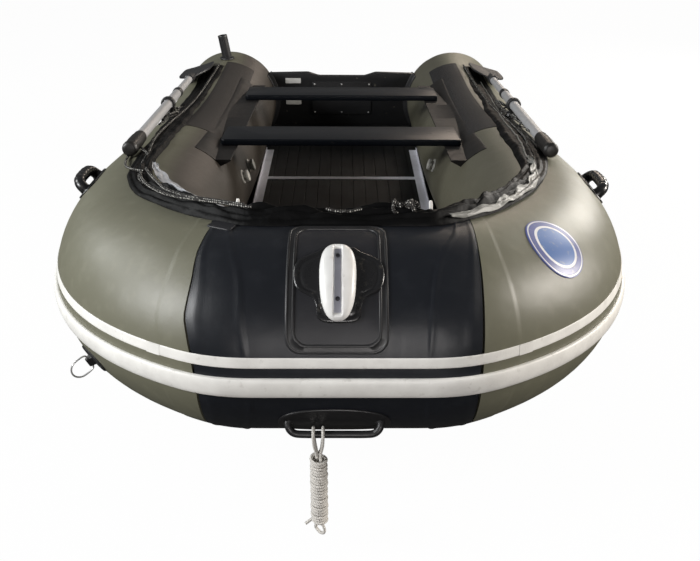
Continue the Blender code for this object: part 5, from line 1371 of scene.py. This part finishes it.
arcs, angles = (flowing([(along(d) * 10, a / 10) for d, a in piping_keys], 30) * (0.1, 10)).T
piping = tube("flap_piping", on_tube(arcs, angles, flap_height(arcs, angles) + 0.0012),
              0.0021, 10, lining_cloth)
fit(piping, "flap_cloth")


# Lacing: dark braid with white flecks, threaded along the flap's edge. It makes a loop at
# the starboard corner, lies two and three deep along the bow's starboard half and hangs
# slack in curls along both sides.
lace_side = [(2.560, 85.5, 0.0090), (2.250, 84.0, 0.0095), (1.900, 83.0, 0.0100),
             (1.550, 82.0, 0.0110), (1.300, 82.5, 0.0120), (1.120, 85.0, 0.0140)]
lace_starboard = [(0.980, 89.0, 0.0170), (0.880, 90.0, 0.0080), (0.780, 90.0, 0.0060),
                  (0.680, 90.5, 0.0060), (0.600, 91.0, 0.0060), (0.520, 94.0, 0.0060),
                  (0.420, 98.0, 0.0060), (0.330, 101.0, 0.0060), (0.250, 102.0, 0.0060)]
lace_port = [(0.980, 90.0, 0.0120), (0.880, 91.0, 0.0060), (0.780, 92.5, 0.0060),
             (0.640, 98.0, 0.0060), (0.520, 101.0, 0.0060), (0.420, 103.0, 0.0060),
             (0.330, 102.5, 0.0060), (0.250, 102.0, 0.0060)]
keys = [(along(d, -1), a, h) for d, a, h in lace_side + lace_starboard]
keys += [(along(d), a, h) for d, a, h in reversed(lace_side + lace_port)]


def laced(name, keys, radius, steps, *nodes):
    """A rope through places given as arc, angle and height off the tubes."""
    arcs, angles, heights = (flowing([(s * 10, a / 10, h * 100) for s, a, h in keys], steps)
                             / (10, 0.1, 100)).T
    route = on_tube(arcs, angles, np.maximum(heights, radius + 0.0006))
    fit(tube(name, route, radius, 12, flecked), "dark_rope", *nodes)


flecked = braided_rope("flecked_braid", (0.72, 0.71, 0.66), (0.020, 0.019, 0.018), 0.0100, 0.50)
lace_radius, loose_radius, slack_radius = 0.0040, 0.0034, 0.0036
laced("lacing", keys, lace_radius, 22, "lacing_rope")
for name, keys in (
        ("lace_second", [(-0.760, 95.0, 0.022), (-0.700, 97.0, 0.023), (-0.600, 99.5, 0.025),
                         (-0.500, 99.5, 0.028), (-0.400, 102.0, 0.031), (-0.310, 105.0, 0.036),
                         (-0.225, 107.0, 0.037)]),
        ("lace_third", [(-0.740, 92.0, 0.020), (-0.640, 92.5, 0.022), (-0.540, 94.0, 0.025),
                        (-0.440, 96.0, 0.028), (-0.350, 99.5, 0.033), (-0.270, 102.5, 0.036),
                        (-0.190, 103.5, 0.036)]),
        ("lace_loop", [(-0.940, 93.0, 0.020), (-1.040, 85.0, 0.018), (-1.118, 77.5, 0.014),
                       (-1.105, 74.5, 0.007), (-1.040, 74.5, 0.006), (-0.960, 76.5, 0.008),
                       (-0.880, 79.5, 0.011), (-0.810, 83.0, 0.018), (-0.752, 88.5, 0.022),
                       (-0.729, 94.0, 0.022)]),
        ("lace_bight", [(-0.030, 101.5, 0.034), (-0.005, 99.6, 0.031), (0.020, 99.4, 0.031),
                        (0.045, 101.5, 0.034)])):
    laced(name, keys, loose_radius, 18)
for name, low, high, middle, swing, lift, rings, seed in (
        ("lace_curl", 0.112, 0.168, 108.5, 3.4, 0.034, 4.3, 0.4),
        ("port_slack", 1.260, 1.960, 73.5, 9.0, 0.026, 7.4, 1.9),
        ("starboard_slack", -1.830, -1.480, 77.0, 6.0, 0.024, 3.3, 3.1)):
    turns = np.linspace(0, 2 * pi * rings, int(rings * 13))
    share = turns / turns[-1]
    arcs = low + (high - low) * (share + 0.3 / rings * np.sin(turns * 1.7 + seed))
    angles = middle + swing * np.cos(turns) * (0.7 + 0.3 * np.sin(turns * 0.37 + seed))
    heights = lift * (1 + 0.3 * np.sin(turns * 1.31 + seed) + 0.1 * np.sin(turns))
    laced(name, list(zip(arcs, angles, heights)), slack_radius, 3)


# Ties: short stiff ends of white strap that stand out of the rolled flap, one at each
# side of the bow.
tie_white = moulded("tie_white", (0.78, 0.77, 0.73), 0.55, 0.0004, 300.0)
for name, arc, angle in (("starboard_tie", -0.248, 107.0), ("port_tie", 0.205, 108.0)):
    tie = tube(name, [on_tube(arc, angle, height) for height in np.linspace(0.020, 0.047, 6)],
               (0.0040, 0.0042, 0.0040, 0.0042, 0.0040, 0.0030), 14, tie_white)
    fit(tie, "white_rope")
